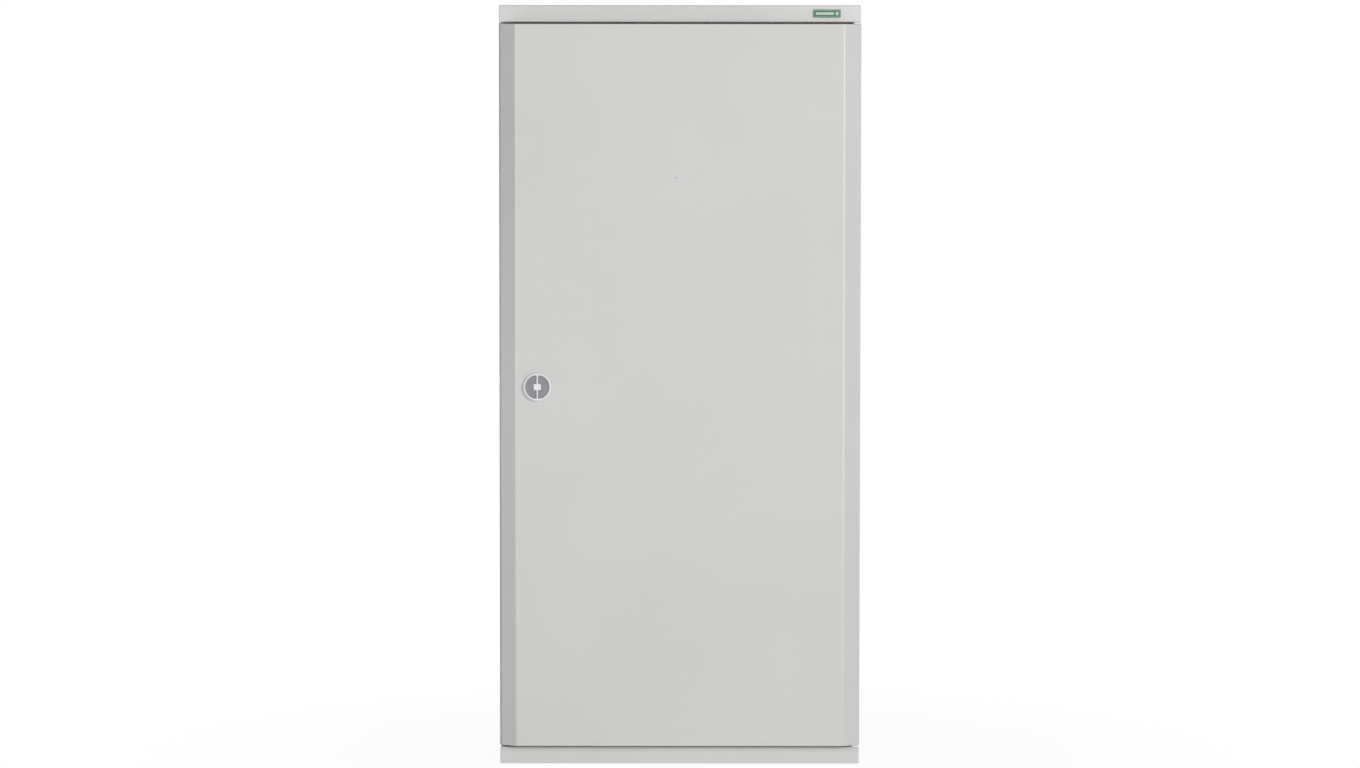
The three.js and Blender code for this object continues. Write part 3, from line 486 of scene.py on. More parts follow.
# Painted light on the bottom cover: a shade lighter than the door's paint, with a painted shadow of the door
# along its upper edge.
bottom_paint = powder_coat("bottom_paint", tinted(PAINT, 1.02), door_shadow=0.85)
plate_paint = powder_coat("plate_paint", (0.66, 0.66, 0.64), grain=0.4, slot="plate_paint")
zinc_plate = zinc("zinc_plate", (0.62, 0.64, 0.66), 0.34)
zinc_screw = zinc("screw_zinc", (0.66, 0.67, 0.68), 0.26)
pin_steel = turned_metal("pin_steel", "pin_steel", (0.56, 0.57, 0.58))
brass = turned_metal("bar_brass", "brass", (0.72, 0.52, 0.22))
seal_foam = foam("seal_foam")
handle_plastic = moulded("handle_plastic", (0.80, 0.80, 0.812), 0.4, 0.15, mottle=0.015)
handle_inset = moulded("handle_inset", (0.283, 0.278, 0.307), 0.6, 1.0, 500.0, mottle=0.07)
bush_plastic = moulded("bush_plastic", (0.90, 0.90, 0.89), 0.5, 0.2, mottle=0.02)
badge_green = moulded("badge_green", (0.045, 0.185, 0.095), 0.3, 0.1, mottle=0.04)
badge_pale = moulded("badge_pale", (0.50, 0.62, 0.54), 0.35, 0.1, mottle=0.03, slot="badge_green")
device_plastic = moulded("device_plastic", (0.62, 0.62, 0.59), 0.42, 0.25, mottle=0.015)
label_plastic = moulded("label_plastic", (0.80, 0.80, 0.78), 0.35, 0.1, slot="device_plastic")
lever_black = moulded("lever_black", (0.022, 0.022, 0.026), 0.35, 0.25)
lever_red = moulded("lever_red", (0.50, 0.02, 0.014), 0.32, 0.2)
flag_green = moulded("flag_green", (0.04, 0.36, 0.10), 0.3, 0.1, slot="badge_green")
button_blue = moulded("button_blue", (0.04, 0.14, 0.40), 0.32, 0.2)
blanking_plastic = moulded("blanking_plastic", (0.60, 0.60, 0.58), 0.5, 0.25, mottle=0.01)
insulator = moulded("insulator", (0.07, 0.072, 0.078), 0.5, 0.5)
gland_plastic = moulded("gland_plastic", (0.22, 0.225, 0.225), 0.6, 0.6)
pocket_plastic = moulded("pocket_plastic", (0.42, 0.44, 0.45), 0.4, 0.4)
wire_skin = striped_wire("wire_skin")


# ---- Fasteners ----
# Each is drawn facing -Y round the origin, seated at y = 0, and copied to its places.


def plus_outline(arm, half):
    quarter = [(arm, -half), (arm, half), (half, half)]
    turns = [(1, 0), (0, 1), (-1, 0), (0, -1)]
    return [(a * c - b * s, a * s + b * c) for c, s in turns for a, b in quarter]


def pan_screw(radius, height):
    """A pan head with a cross recess, on a short shank."""
    steps = 5
    dome = [(0.0, -height)]
    for i in range(1, steps + 1):
        angle = math.pi / 2 * i / steps
        dome.append((radius * math.sin(angle) ** 0.7, -height * (0.3 + 0.7 * math.cos(angle))))
    shank = radius * 0.5
    bm = lathe([*dome, (radius, 0), (shank, 0), (shank, height), (0, height)], "y", steps=24)
    return punch(bm, plus_outline(radius * 0.6, radius * 0.12), "y", -height * 2, -height * 0.4)


def quarter_turn(radius, height):
    """A cover-plate fastener: a shallow collar round a slotted, slightly sunken head."""
    shares = [(0, 0), (1, 0), (1, 0.7), (0.92, 1), (0.74, 1), (0.70, 0.7), (0.70, 0.55), (0, 0.55)]
    head = lathe([(radius * a, -height * b) for a, b in shares], "y", steps=40)
    length, width = radius * 0.55, radius * 0.11
    return combine(head, box((-length, -height * 2, -width), (length, -height * 0.2, width)))


def dome_rivet(radius, height):
    shares = [(0, 1), (0.4, 0.9), (0.75, 0.6), (0.95, 0.25), (1, 0), (0, 0)]
    return lathe([(radius * a, -height * b) for a, b in shares], "y", steps=20)


def stud_and_nut(across, height, length):
    """A hexagon nut with rounded corners on a projecting stud, over a washer."""
    washer = 0.8 * MM
    bm = lathe([(0, -washer), (across * 0.62, -washer), (across * 0.62, 0), (0, 0)], "y", steps=28)
    corner = across / 2 / math.cos(math.pi / 6)
    hexagon = [(corner * math.cos(math.pi / 3 * i), corner * math.sin(math.pi / 3 * i)) for i in range(6)]
    prism(hexagon, "y", -washer - height, -washer, across * 0.05, into=bm)
    tip, seat = across * 0.26, -washer - height
    stud = [(0, -length), (tip * 0.8, -length), (tip, -length + tip * 0.3), (tip, seat), (0, seat)]
    return lathe(stud, "y", steps=24, into=bm)


def fasteners(name, source, places, body="cabinet", material=None):
    piece(name, copies(source, places), material or zinc_screw, body=body)
    source.free()


# ---- CAD nodes that stay ----


def rounding_nodes():
    """A geometry-nodes group that drops imported normals and shades smooth between sharp edges."""
    group = bpy.data.node_groups.new("smooth_by_angle", "GeometryNodeTree")
    for direction in ("INPUT", "OUTPUT"):
        group.interface.new_socket("Geometry", in_out=direction, socket_type="NodeSocketGeometry")
    add, link = group.nodes.new, group.links.new
    drop = add("GeometryNodeRemoveAttribute")
    drop.inputs["Name"].default_value = "custom_normal"
    gentle = setup(add("FunctionNodeCompare"), operation="LESS_THAN")
    gentle.inputs[1].default_value = SHARP
    edges, faces = (setup(add("GeometryNodeSetShadeSmooth"), domain=domain) for domain in ("EDGE", "FACE"))
    link(add("GeometryNodeInputMeshEdgeAngle").outputs[0], gentle.inputs[0])
    link(gentle.outputs[0], edges.inputs["Shade Smooth"])
    chain = [add("NodeGroupInput"), drop, edges, faces, add("NodeGroupOutput")]
    for a, b in zip(chain, chain[1:]):
        link(a.outputs[0], b.inputs[0])
    return group


SMOOTH_BY_ANGLE = rounding_nodes()


def dress(material, radius, *nodes, segments=2):
    """Rounds CAD nodes' edges with modifiers and gives them their material."""
    for node in nodes:
        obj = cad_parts[node]
        add = obj.modifiers.new
        add("weld", "WELD").merge_threshold = 0.005 * MM
        setup(add("flatten", "DECIMATE"), decimate_type="DISSOLVE", angle_limit=math.radians(1.0))
        round_off = {"width": radius, "segments": segments, "limit_method": "ANGLE"}
        setup(add("round_off", "BEVEL"), **round_off, angle_limit=math.radians(35), miter_outer="MITER_ARC")
        add("smooth", "NODES").node_group = SMOOTH_BY_ANGLE
        add("normals", "WEIGHTED_NORMAL").keep_sharp = True
        for slot in obj.material_slots:
            slot.material = material


# ---- Shell ----


def rod_opening(bm, up, low, high):
    """Cuts the opening for a lock rod's bar, which is the side of the rod away from the pinion."""
    near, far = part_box("lock_rod_upper" if up else "lock_rod_lower")
    half_bar = 4.5 * MM
    x = near.x + half_bar if up else far.x - half_bar
    outline = rounded_rectangle(5.4 * MM, 3 * MM, 1.2 * MM, centre=(x, (near.y + far.y) / 2))
    return punch(bm, outline, "z", low, high)


def cover(node, up, material):
    """A cover: a tray whose front edge is the band. Its inner side is a shelf with a sealing lip."""
    low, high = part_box(node)
    side = 1 if up else -1
    outer = HEIGHT if up else 0.0
    inner = HEIGHT - BAND if up else BAND
    lip_end = low.z if up else high.z
    w, lip = COVER_HALF, LIP_X
    front = [(x, BAND_Y, inner) for x in (-w, -lip, lip, w)]
    faces = [
        [*front, (w, BAND_Y, outer), (-w, BAND_Y, outer)],
        [(-w, BAND_Y, outer), (w, BAND_Y, outer), (w, BACK_Y, outer), (-w, BACK_Y, outer)],
        [(-w, BACK_Y, outer), (w, BACK_Y, outer), (w, BACK_Y, inner), (-w, BACK_Y, inner)],
        front + [(x, LIP_Y, inner) for x in (w, lip, -lip, -w)],
        [(-lip, LIP_Y, inner), (lip, LIP_Y, inner), (lip, LIP_Y, lip_end), (-lip, LIP_Y, lip_end)],
    ]
    for x in (-w, w):
        faces.append([(x, BAND_Y, inner), (x, LIP_Y, inner), (x, BACK_Y, inner), (x, BACK_Y, outer),
                      (x, BAND_Y, outer)])
    bm = sheet(faces, (0, 0, side), radius=2.4 * MM)
    reach = 6 * MM
    bm = drill(bm, PIN_HOLE, "z", (HINGE.x, HINGE.y, 0), inner - reach, inner + reach)
    bm = rod_opening(bm, up, inner - reach, inner + reach)
    plate_low, plate_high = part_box("top_gland_plate")
    opening = rounded_rectangle(
        plate_high.x - 12 * MM, (plate_high.y - plate_low.y) / 2 - 9 * MM, 4 * MM,
        centre=(0, (plate_low.y + plate_high.y) / 2),
    )
    bm = punch(bm, opening, "z", outer - reach, outer + reach)
    piece(node + "_sheet", bm, material, node)


def side_panel(node, side):
    """A side, folded into a sealing lip in front and a flange behind, with a plate across each end."""
    low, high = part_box(node)
    lip_x, flange_x = side * SIDE_LOW.x, side * (HALF_WIDTH - 20 * MM)
    x, back = side * HALF_WIDTH, high.y
    run = [(lip_x, LIP_Y), (x, LIP_Y), (x, back), (flange_x, back)]
    faces = [[(*a, low.z), (*b, low.z), (*b, high.z), (*a, high.z)] for a, b in zip(run, run[1:])]
    bm = sheet(faces, (side, 0, 0))
    near, far = sorted((side * (HALF_WIDTH - 14 * MM), side * (HALF_WIDTH - 0.5 * MM)))
    for z in (low.z + 0.02 * MM, high.z - SHEET - 0.02 * MM):
        box((near, LIP_Y + 0.5 * MM, z), (far, back - 0.5 * MM, z + SHEET), into=bm)
    piece(node + "_sheet", bm, paint, node)


def back_panel():
    low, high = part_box("back_panel")
    bm = box(low, high, 0.35 * MM)
    hole_x, hole_z = 240 * MM, 80 * MM
    for x in (-hole_x, hole_x):
        for z in (hole_z, HEIGHT - hole_z):
            bm = drill(bm, 4.5 * MM, "y", (x, 0, z), low.y - MM, high.y + MM)
    piece("back_panel_sheet", bm, paint, "back_panel")


def gland_plate(node, up):
    """An entry plate with stepped membranes that are cut open for each cable."""
    low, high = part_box(node)
    side = 1 if up else -1
    face_z, thickness = (high.z if up else low.z), 2 * MM
    middle = (low.y + high.y) / 2
    outline = rounded_rectangle(high.x, (high.y - low.y) / 2, 5 * MM, centre=(0, middle))
    bm = prism(outline, "z", *sorted((face_z, face_z - side * thickness)), 0.4 * MM)
    count, wall = 8, 1.3 * MM
    pitch = 2 * (high.x - 12 * MM) / count
    cones = []
    for i in range(count):
        radius = (18 if i % 2 else 24) * MM
        centre = Vector((pitch * (i + 0.5 - count / 2), middle, face_z))
        outer, inner = [(radius, 0.0)], [(radius + wall, 0.0)]
        for step in range(1, 5):
            depth, r = -3.4 * MM * step, radius * (1 - 0.16 * step)
            outer += [(r + radius * 0.14, depth + 1.2 * MM), (r, depth)]
            inner += [(r + wall, h - wall * 0.4) for r, h in outer[-2:]]
        profile = [(0, outer[-1][1]), *reversed(outer), *inner, (0, inner[-1][1] - wall * 0.6)]
        cones.append((centre, [(r, side * h) for r, h in profile]))
        bm = drill(bm, radius + wall * 0.5, "z", centre, -5 * MM, 5 * MM, 48)
    for centre, profile in cones:
        lathe(profile, "z", centre, into=bm)
    piece(node.replace("plate", "moulding"), bm, gland_plastic, node)


def hinge_parts():
    """Each hinge's turned pin, with a collar on the cover's shelf, and the spacer block it passes through."""
    for corner, up in (("top", 1), ("bottom", -1)):
        pin, bush = "hinge_pin_" + corner, "hinge_bush_" + corner
        low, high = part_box(pin)
        shelf = (HEIGHT - BAND + SHEET) if up > 0 else (BAND - SHEET)
        inner, outer = (low.z, high.z) if up > 0 else (high.z, low.z)
        start, end, r, collar = inner - shelf, outer - shelf, 3 * MM, 4.8 * MM
        profile = [
            (0, start), (r - 0.8 * MM, start), (r, start + up * MM), (r, up * 0.3 * MM),
            (collar, up * 0.3 * MM), (collar, up * 1.2 * MM), (collar - 0.4 * MM, up * 1.5 * MM),
            (r, up * 1.5 * MM), (r, end - up * 0.5 * MM), (r - 0.5 * MM, end), (0, end),
        ]
        bm = lathe(profile, "z", (HINGE.x, HINGE.y, shelf), 36)
        piece(pin + "_turned", bm, pin_steel, pin)
        low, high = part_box(bush)
        half_x, half_y = (high.x - low.x) / 2, (high.y - low.y) / 2
        outline = rounded_rectangle(half_x, half_y, 1.5 * MM, 5, ((low.x + high.x) / 2, (low.y + high.y) / 2))
        bm = prism(outline, "z", low.z, high.z, 0.2 * MM)
        bm = drill(bm, PIN_HOLE, "z", (HINGE.x, HINGE.y, 0), low.z - MM, high.z + MM)
        piece(bush + "_moulded", bm, bush_plastic, bush)


def badge():
    """A plain enamelled plate with a pale rim line, a bar and a square: no lettering."""
    low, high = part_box("name_badge")
    centre = ((low.x + high.x) / 2, (low.z + high.z) / 2)
    half_w, half_h = (high.x - low.x) / 2, (high.z - low.z) / 2
    outline = rounded_rectangle(half_w, half_h, 1.6 * MM, centre=centre)
    piece("badge_plate", prism(outline, "y", low.y + 0.1 * MM, high.y, 0.25 * MM), badge_green, "name_badge")
    front, seat = low.y + 0.02 * MM, low.y + 0.3 * MM
    rim, gap = (
        rounded_rectangle(half_w - inset, half_h - inset, radius, centre=centre)
        for inset, radius in ((1.1 * MM, 1.1 * MM), (1.55 * MM, 0.8 * MM))
    )
    trim = punch(prism(rim, "y", front, seat), gap, "y", front - MM, seat + MM)
    for along, width, height in ((-0.14, 0.66, 0.34), (0.74, 0.10, 0.46)):
        middle = (centre[0] + along * half_w, centre[1])
        mark = rounded_rectangle(half_w * width, half_h * height, 0.5 * MM, centre=middle)
        prism(mark, "y", front, seat, into=trim)
    piece("badge_trim", trim, badge_pale)


# ---- Door ----


def door_skin():
    """The door: one folded tray with bevelled sides, returned all round to a rim that faces back."""
    left, right = DOOR_LOW.x, DOOR_HIGH.x
    z0, z1 = DOOR_LOW.z, DOOR_HIGH.z
    left_side = [(left, RIM_Y), (left, BAND_Y), (-FACE_HALF, FRONT_Y)]
    plan = left_side + [(FACE_HALF, FRONT_Y), (right, BAND_Y), (right, RIM_Y)]
    faces = [[(*a, z0), (*b, z0), (*b, z1), (*a, z1)] for a, b in zip(plan, plan[1:])]
    faces += [[(*corner, z) for corner in plan] for z in (z0, z1)]
    outer, inner = (
        [(left + i, z0 + i), (right - i, z0 + i), (right - i, z1 - i), (left + i, z1 - i)] for i in (0, HEM)
    )
    for i in range(4):
        j = (i + 1) % 4
        faces.append([(x, RIM_Y, z) for x, z in (outer[i], outer[j], inner[j], inner[i])])
    bm = sheet(faces, (0, -1, 0))
    bm = drill(bm, 15.4 * MM, "y", (LOCK.x, FRONT_Y, LOCK.z), -4 * MM, 5 * MM, 48)
    for z in (z0, z1):
        bm = drill(bm, PIN_HOLE, "z", (HINGE.x, HINGE.y, z), -4 * MM, 4 * MM)
    bm = rod_opening(bm, True, z1 - 4 * MM, z1 + 4 * MM)
    bm = rod_opening(bm, False, z0 - 4 * MM, z0 + 4 * MM)
    piece("door_skin", bm, door_paint, "door_panel", "door")


def sweep_loop(path, section):
    """Sweeps a closed section of (outward, y) points round a closed path in the XZ plane."""
    bm = bmesh.new()
    rings = []
    for i, (x, z) in enumerate(path):
        (px, pz), (nx, nz) = path[i - 1], path[(i + 1) % len(path)]
        tangent = Vector((nx - px, nz - pz)).normalized()
        outward = Vector((tangent.y, -tangent.x))
        rings.append([bm.verts.new((x + outward.x * a, y, z + outward.y * a)) for a, y in section])
    for a, b in zip(rings, [*rings[1:], rings[0]]):
        skin(bm, a, b)
    return bm


def gasket():
    """A foamed-in-place seal: a soft bead with rounded corners on the door's rim."""
    low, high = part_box("door_gasket")
    half = 5 * MM
    path = rounded_rectangle(
        high.x - half, (high.z - low.z) / 2 - half, 14 * MM, 10, (0, (low.z + high.z) / 2)
    )
    steps, seat = 10, low.y + 0.6 * MM
    section = [(-half, low.y)]
    for i in range(steps + 1):
        angle = math.pi * (1 - i / steps)
        section.append((half * math.cos(angle), seat + (high.y - seat) * math.sin(angle)))
    section.append((half, low.y))
    piece("gasket_bead", sweep_loop(path, section), seal_foam, "door_gasket", "door")


def turn_handle():
    """The ring with its two D-shaped finger pockets, a web between them and a square-ended hub."""
    radius = (HANDLE_HIGH.x - HANDLE_LOW.x) / 2
    front = HANDLE_LOW.y + 0.8 * MM
    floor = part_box("handle_disc")[0].y
    back = HANDLE_HIGH.y
    edge, wall, clear = 0.7 * MM, 0.8 * MM, 0.1 * MM
    profile = [
        (0, front), (radius - edge, front), (radius - edge * 0.35, front + edge * 0.3),
        (radius, front + edge), (radius, back), (radius - wall, back),
        (radius - wall, floor - clear), (0, floor - clear),
    ]
    ring = lathe(profile, "y", (LOCK.x, 0, LOCK.z), 96)
    for side in (1, -1):
        ring = punch(ring, pocket_outline(side), "y", front - MM, floor + MM)
    hub_x, hub_z = 6 * MM, 5 * MM
    low = (LOCK.x - hub_x, HANDLE_LOW.y, LOCK.z - hub_z)
    high = (LOCK.x + hub_x, floor - clear, LOCK.z + hub_z)
    ring = combine(ring, box(low, high, 0.35 * MM, 3), "UNION")
    obj = piece("handle_ring", ring, handle_plastic, "turn_handle", "handle", weighted=False)
    soften = setup(obj.modifiers.new("soften", "BEVEL"), width=0.3 * MM, segments=2, harden_normals=True)
    setup(soften, limit_method="ANGLE", angle_limit=math.radians(50))


def pocket_outline(side):
    """A D-shaped pocket: an arc that reaches almost to the web, with a small rounding at each end."""
    radius, web, turn = 20.2 * MM, 1.2 * MM, math.radians(81)
    end_x, end_z = radius * math.cos(turn), radius * math.sin(turn)
    corner = [(web, end_z - 2 * MM), (web, end_z), (end_x, end_z)]
    rounding = []
    steps = 6
    for i in range(steps + 1):
        t = i / steps
        weights = ((1 - t) ** 2, 2 * t * (1 - t), t * t)
        rounding.append(tuple(sum(w * p[k] for w, p in zip(weights, corner)) for k in (0, 1)))
    points = [(x, -z) for x, z in rounding]
    arc_steps = 36
    for i in range(1, arc_steps):
        angle = -turn + 2 * turn * i / arc_steps
        points.append((radius * math.cos(angle), radius * math.sin(angle)))
    points += reversed(rounding)
    flat = 19.2 * MM
    return [(LOCK.x + side * x, LOCK.z + max(-flat, min(flat, z))) for x, z in points]


def handle_disc():
    low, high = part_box("handle_disc")
    radius, edge = (high.x - low.x) / 2, 0.2 * MM
    profile = [(0, low.y), (radius - edge, low.y), (radius, low.y + edge), (radius, high.y), (0, high.y)]
    bm = lathe(profile, "y", (LOCK.x, 0, LOCK.z), 96)
    piece("handle_floor", bm, handle_inset, "handle_disc", "handle")


def earth_wire():
    """The slack bonding wire beside the hinge. Returns its two ends."""
    low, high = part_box("earth_wire")
    size = high - low
    shares = ((0.96, 0.98, 0.97), (0.88, 0.78, 0.78), (0.71, 0.58, 0.42), (0.54, 0.41, 0.10),
              (0.37, 0.26, 0.03), (0.16, 0.13, 0.24), (0.05, 0.02, 0.62))
    points = [Vector((low.x + size.x * a, low.y + size.y * b, low.z + size.z * c)) for a, b, c in shares]
    path = smooth_path(points, 10)
    bm = bmesh.new()
    layer = bm.verts.layers.float.new("winding")
    tube_into(bm, path, 1.8 * MM, 16, layer)
    obj = piece("earth_lead", bm, wire_skin, "earth_wire", body=None, weighted=False)
    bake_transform(obj)
    return points[0], points[-1]


def smooth_path(points, steps):
    """A Catmull-Rom curve through the points."""
    padded = [points[0] * 2 - points[1], *points, points[-1] * 2 - points[-2]]
    path = []
    for a, b, c, d in zip(padded, padded[1:], padded[2:], padded[3:]):
        for i in range(steps):
            t = i / steps
            path.append(0.5 * (2 * b + (c - a) * t + (2 * a - 5 * b + 4 * c - d) * t * t
                               + (3 * b - a - 3 * c + d) * t ** 3))
    return [*path, points[-1]]


def tube_into(bm, path, radius, sides, layer=None):
    """Adds a round tube with closed ends. The layer records how far round each vertex's winding is."""
    side = Vector((0, 0, 1)).cross(path[1] - path[0]).normalized()
    rings = []
    travelled = 0.0
    for i, point in enumerate(path):
        travelled += (point - path[max(i - 1, 0)]).length
        tangent = (path[min(i + 1, len(path) - 1)] - path[max(i - 1, 0)]).normalized()
        side = (side - tangent * side.dot(tangent)).normalized()
        up = tangent.cross(side)
        ring = []
        for k in range(sides):
            angle = 2 * math.pi * k / sides
            vert = bm.verts.new(point + (side * math.cos(angle) + up * math.sin(angle)) * radius)
            if layer:
                vert[layer] = math.cos(angle + travelled / (9 * MM))
            ring.append(vert)
        rings.append(ring)
    for a, b in zip(rings, rings[1:]):
        skin(bm, a, b)
    bm.faces.new(rings[0])
    bm.faces.new(list(reversed(rings[-1])))


def ring_terminal(name, at, towards, facing, body):
    """A crimped ring under a nut, with its barrel pointing to where the wire comes from."""
    inner, outer, front, back = 2.6 * MM, 4.8 * MM, -1.6 * MM, -0.8 * MM
    ring = lathe([(inner, front), (outer, front), (outer, back), (inner, back)], "y", steps=32)
    bmesh.ops.transform(ring, matrix=place(at, facing), verts=ring.verts)
    direction = (towards - at).normalized()
    start = at + direction * 4.6 * MM
    tube_into(ring, [start, start + direction * 4 * MM, start + direction * 9 * MM], 2.3 * MM, 20)
    piece(name + "_lug", ring, zinc_screw, body=body)
    fasteners(name + "_stud", stud_and_nut(8 * MM, 4 * MM, 9 * MM), [place(at, facing)], body)


def hinge_brackets():
    """A stiffening plate inside each hinge corner of the door."""
    for name, z in (("top", DOOR_HIGH.z - SHEET - FINE), ("bottom", DOOR_LOW.z + SHEET + FINE)):
        inward = -1 if name == "top" else 1
        outline = rounded_rectangle(11 * MM, 6.4 * MM, 2 * MM, centre=(HINGE.x - 6 * MM, HINGE.y - 0.2 * MM))
        bm = prism(outline, "z", *sorted((z, z + inward * 2 * MM)), 0.3 * MM)
        bm = drill(bm, PIN_HOLE, "z", (HINGE.x, HINGE.y, z), -4 * MM, 4 * MM)
        piece(f"hinge_bracket_{name}", bm, zinc_plate, body="door")


# ---- Switchgear and interior ----

POLE = 17.5 * MM
LEVER_AXIS_Y = -36.5 * MM
LEVER_TILT = math.radians(35)
NOSE_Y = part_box("breaker_1")[0].y
SHOULDER_Y = NOSE_Y + 14 * MM
DEVICES = ["main_switch", "residual_current_device", *(f"breaker_{i}" for i in range(1, 7))]
LEVERS = ["main_switch_lever", "residual_current_lever", *(f"breaker_lever_{i}" for i in range(1, 7))]
PLATES = [f"cover_plate_{i}" for i in range(1, 5)]


def housing_section(high_y):
    """A rail-mounted housing's side outline: from the rail up and forward to the nose, then mirrored."""
    upper = [
        (high_y - 4.8 * MM, 17.9 * MM), (high_y, 17.9 * MM), (high_y, 43 * MM), (SHOULDER_Y, 43 * MM),
        (SHOULDER_Y, 22.3 * MM), (NOSE_Y, 22.3 * MM),
    ]
    return upper + [(y, -z) for y, z in reversed(upper)]


def housing_block(width, windows, high_y):
    """One moulding, centred on x = 0 and z = 0. A window is an opening for a lever or a button: its
    x, half its width, half its height and its depth."""
    half = width / 2 - 0.12 * MM
    bm = prism(housing_section(high_y), "x", -half, half, 0.5 * MM)
    for x, half_x, half_z, depth in windows:
        outline = rounded_rectangle(half_x, half_z, 0.8 * MM, 3, (x, 0))
        bm = punch(bm, outline, "y", NOSE_Y - MM, NOSE_Y + depth)
    return bm


def devices():
    """Each device's housing: one moulding a pole, or one wide moulding with a test button. Then all
    their status flags, blank labels and terminal screws."""
    high_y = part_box("breaker_1")[1].y
    lever_depth = LEVER_AXIS_Y + 7.5 * MM - NOSE_Y
    lever_x, button_x, flag_up, screw_up = -14 * MM, 22 * MM, 13 * MM, 33 * MM
    pole = housing_block(POLE, [(0, 4.5 * MM, 8.4 * MM, lever_depth)], high_y)
    windows = [(lever_x, 11.5 * MM, 8.4 * MM, lever_depth), (button_x, 4.3 * MM, 4.3 * MM, 7.5 * MM)]
    wide = housing_block(4 * POLE, windows, high_y)
    flags, labels, screws = [], [], []
    for node in DEVICES:
        low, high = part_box(node)
        centre, z = (low.x + high.x) / 2, (low.z + high.z) / 2
        poles = round((high.x - low.x) / POLE)
        xs = [centre + (i - (poles - 1) / 2) * POLE for i in range(poles)]
        if node == "residual_current_device":
            bm = copies(wide, [Matrix.Translation((centre, 0, z))])
            labels.append((centre + button_x, z - 15 * MM))
            flags.append((centre + lever_x, z + flag_up))
        else:
            bm = copies(pole, [Matrix.Translation((x, 0, z)) for x in xs])
            labels += [(x, z - 15.5 * MM) for x in xs]
            flags += [(x, z + flag_up) for x in xs]
        screws += [(x, z + up) for x in xs for up in (-screw_up, screw_up)]
        piece(node + "_housing", bm, device_plastic, node)
    pole.free()
    wide.free()
    for name, spots, half_x, half_z, material in (
        ("status_flags", flags, 2.2 * MM, 1.3 * MM, flag_green),
        ("device_labels", labels, 6.0 * MM, 3.6 * MM, label_plastic),
    ):
        bm = bmesh.new()
        for x, z in spots:
            outline = rounded_rectangle(half_x, half_z, 0.5 * MM, 3, (x, z))
            prism(outline, "y", NOSE_Y - 0.25 * MM, NOSE_Y + 0.1 * MM, 0.08 * MM, 1, into=bm)
        piece(name, bm, material)
    places = [place((x, SHOULDER_Y, z), "-y") for x, z in screws]
    fasteners("terminal_screws", pan_screw(3.2 * MM, 1.6 * MM), places)


def lever(node, device, body, material):
    """A toggle for each pole, tied together by a bar in front of the housing."""
    low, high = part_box(node)
    row = sum(corner.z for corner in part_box(device)) / 2
    single = node == "residual_current_lever"
    width = 22 * MM if single else 8 * MM
    count = 1 if single else round((high.x - low.x - width) / POLE) + 1
    left = low.x + width / 2
    bm = bmesh.new()
    half, r, edge = width / 2 - 0.2 * MM, 6.8 * MM, 0.4 * MM
    drum = [(0, -half), (r - edge, -half), (r, -half + edge), (r, half - edge), (r - edge, half), (0, half)]
    for i in range(count):
        x = left + i * POLE
        lathe(drum, "x", (x, 0, 0), 40, into=bm)
        blade = [(-4 * MM, -2.3 * MM), (-13.8 * MM, -1.3 * MM), (-13.8 * MM, 1.3 * MM), (-4 * MM, 2.3 * MM)]
        prism(blade, "x", x - half, x + half, 0.5 * MM, into=bm)
    if count > 1:
        bar = [(-9.6 * MM, -1.9 * MM), (-13.9 * MM, -1.6 * MM), (-13.9 * MM, 1.6 * MM), (-9.6 * MM, 1.9 * MM)]
        prism(bar, "x", low.x, high.x, 0.6 * MM, into=bm)
    turn = Matrix.Translation((0, LEVER_AXIS_Y, row)) @ Matrix.Rotation(-LEVER_TILT, 4, "X")
    bmesh.ops.transform(bm, matrix=turn, verts=bm.verts)
    piece(node.replace("lever", "toggle"), bm, material, node, body)


def test_button():
    low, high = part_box("test_button")
    centre = ((low.x + high.x) / 2, (low.z + high.z) / 2)
    half = (high.x - low.x) / 2
    bm = prism(rounded_rectangle(half, half, 0.9 * MM, 4, centre), "y", low.y, high.y, 0.35 * MM, 3)
    piece("test_push_button", bm, button_blue, "test_button", "test_push")


def cover_plate(node):
    """A cover plate with its upper and lower edges folded back, and a slot where it has switchgear.
    Returns its fasteners' places."""
    low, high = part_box(node)
    fold, x = 249 * MM, high.x
    back = low.y + 8 * MM
    xs = (-x, -fold, fold, x)
    faces = [[(a, low.y, low.z) for a in xs] + [(a, low.y, high.z) for a in reversed(xs)]]
    for z in (low.z, high.z):
        faces.append([(-fold, low.y, z), (fold, low.y, z), (fold, back, z), (-fold, back, z)])
    bm = sheet(faces, (0, -1, 0), radius=1.6 * MM)
    if node != "cover_plate_1":
        middle = (low.z + high.z) / 2
        half_w, half_h = 211 * MM, 23 * MM
        outline = rounded_rectangle(half_w, half_h, 1.5 * MM, centre=(0, middle))
        bm = punch(bm, outline, "y", low.y - 3 * MM, low.y + 3 * MM)
    piece(node + "_pan", bm, plate_paint, node)
    heights = (low.z + 24 * MM, high.z - 24 * MM)
    return [place((side * (x - 12 * MM), low.y, z), "-y") for side in (-1, 1) for z in heights]


def blanking_strip(node):
    """A strip of snap-off modules that closes the rest of a slot."""
    low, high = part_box(node)
    seat = low.y + 1.4 * MM
    bm = bmesh.new()
    x = low.x
    while x < high.x - 5 * MM:
        end = min(x + POLE, high.x - 4 * MM)
        if high.x - end < 6 * MM:
            end = high.x
        box((x + 0.08 * MM, low.y, low.z), (end - 0.08 * MM, seat, high.z), 0.35 * MM, into=bm)
        x = end
    rail_low = (low.x, seat - 0.3 * MM, low.z + 2 * MM)
    box(rail_low, (high.x - 4 * MM, high.y, high.z - 2 * MM), into=bm)
    piece(node + "_moulded", bm, blanking_plastic, node)


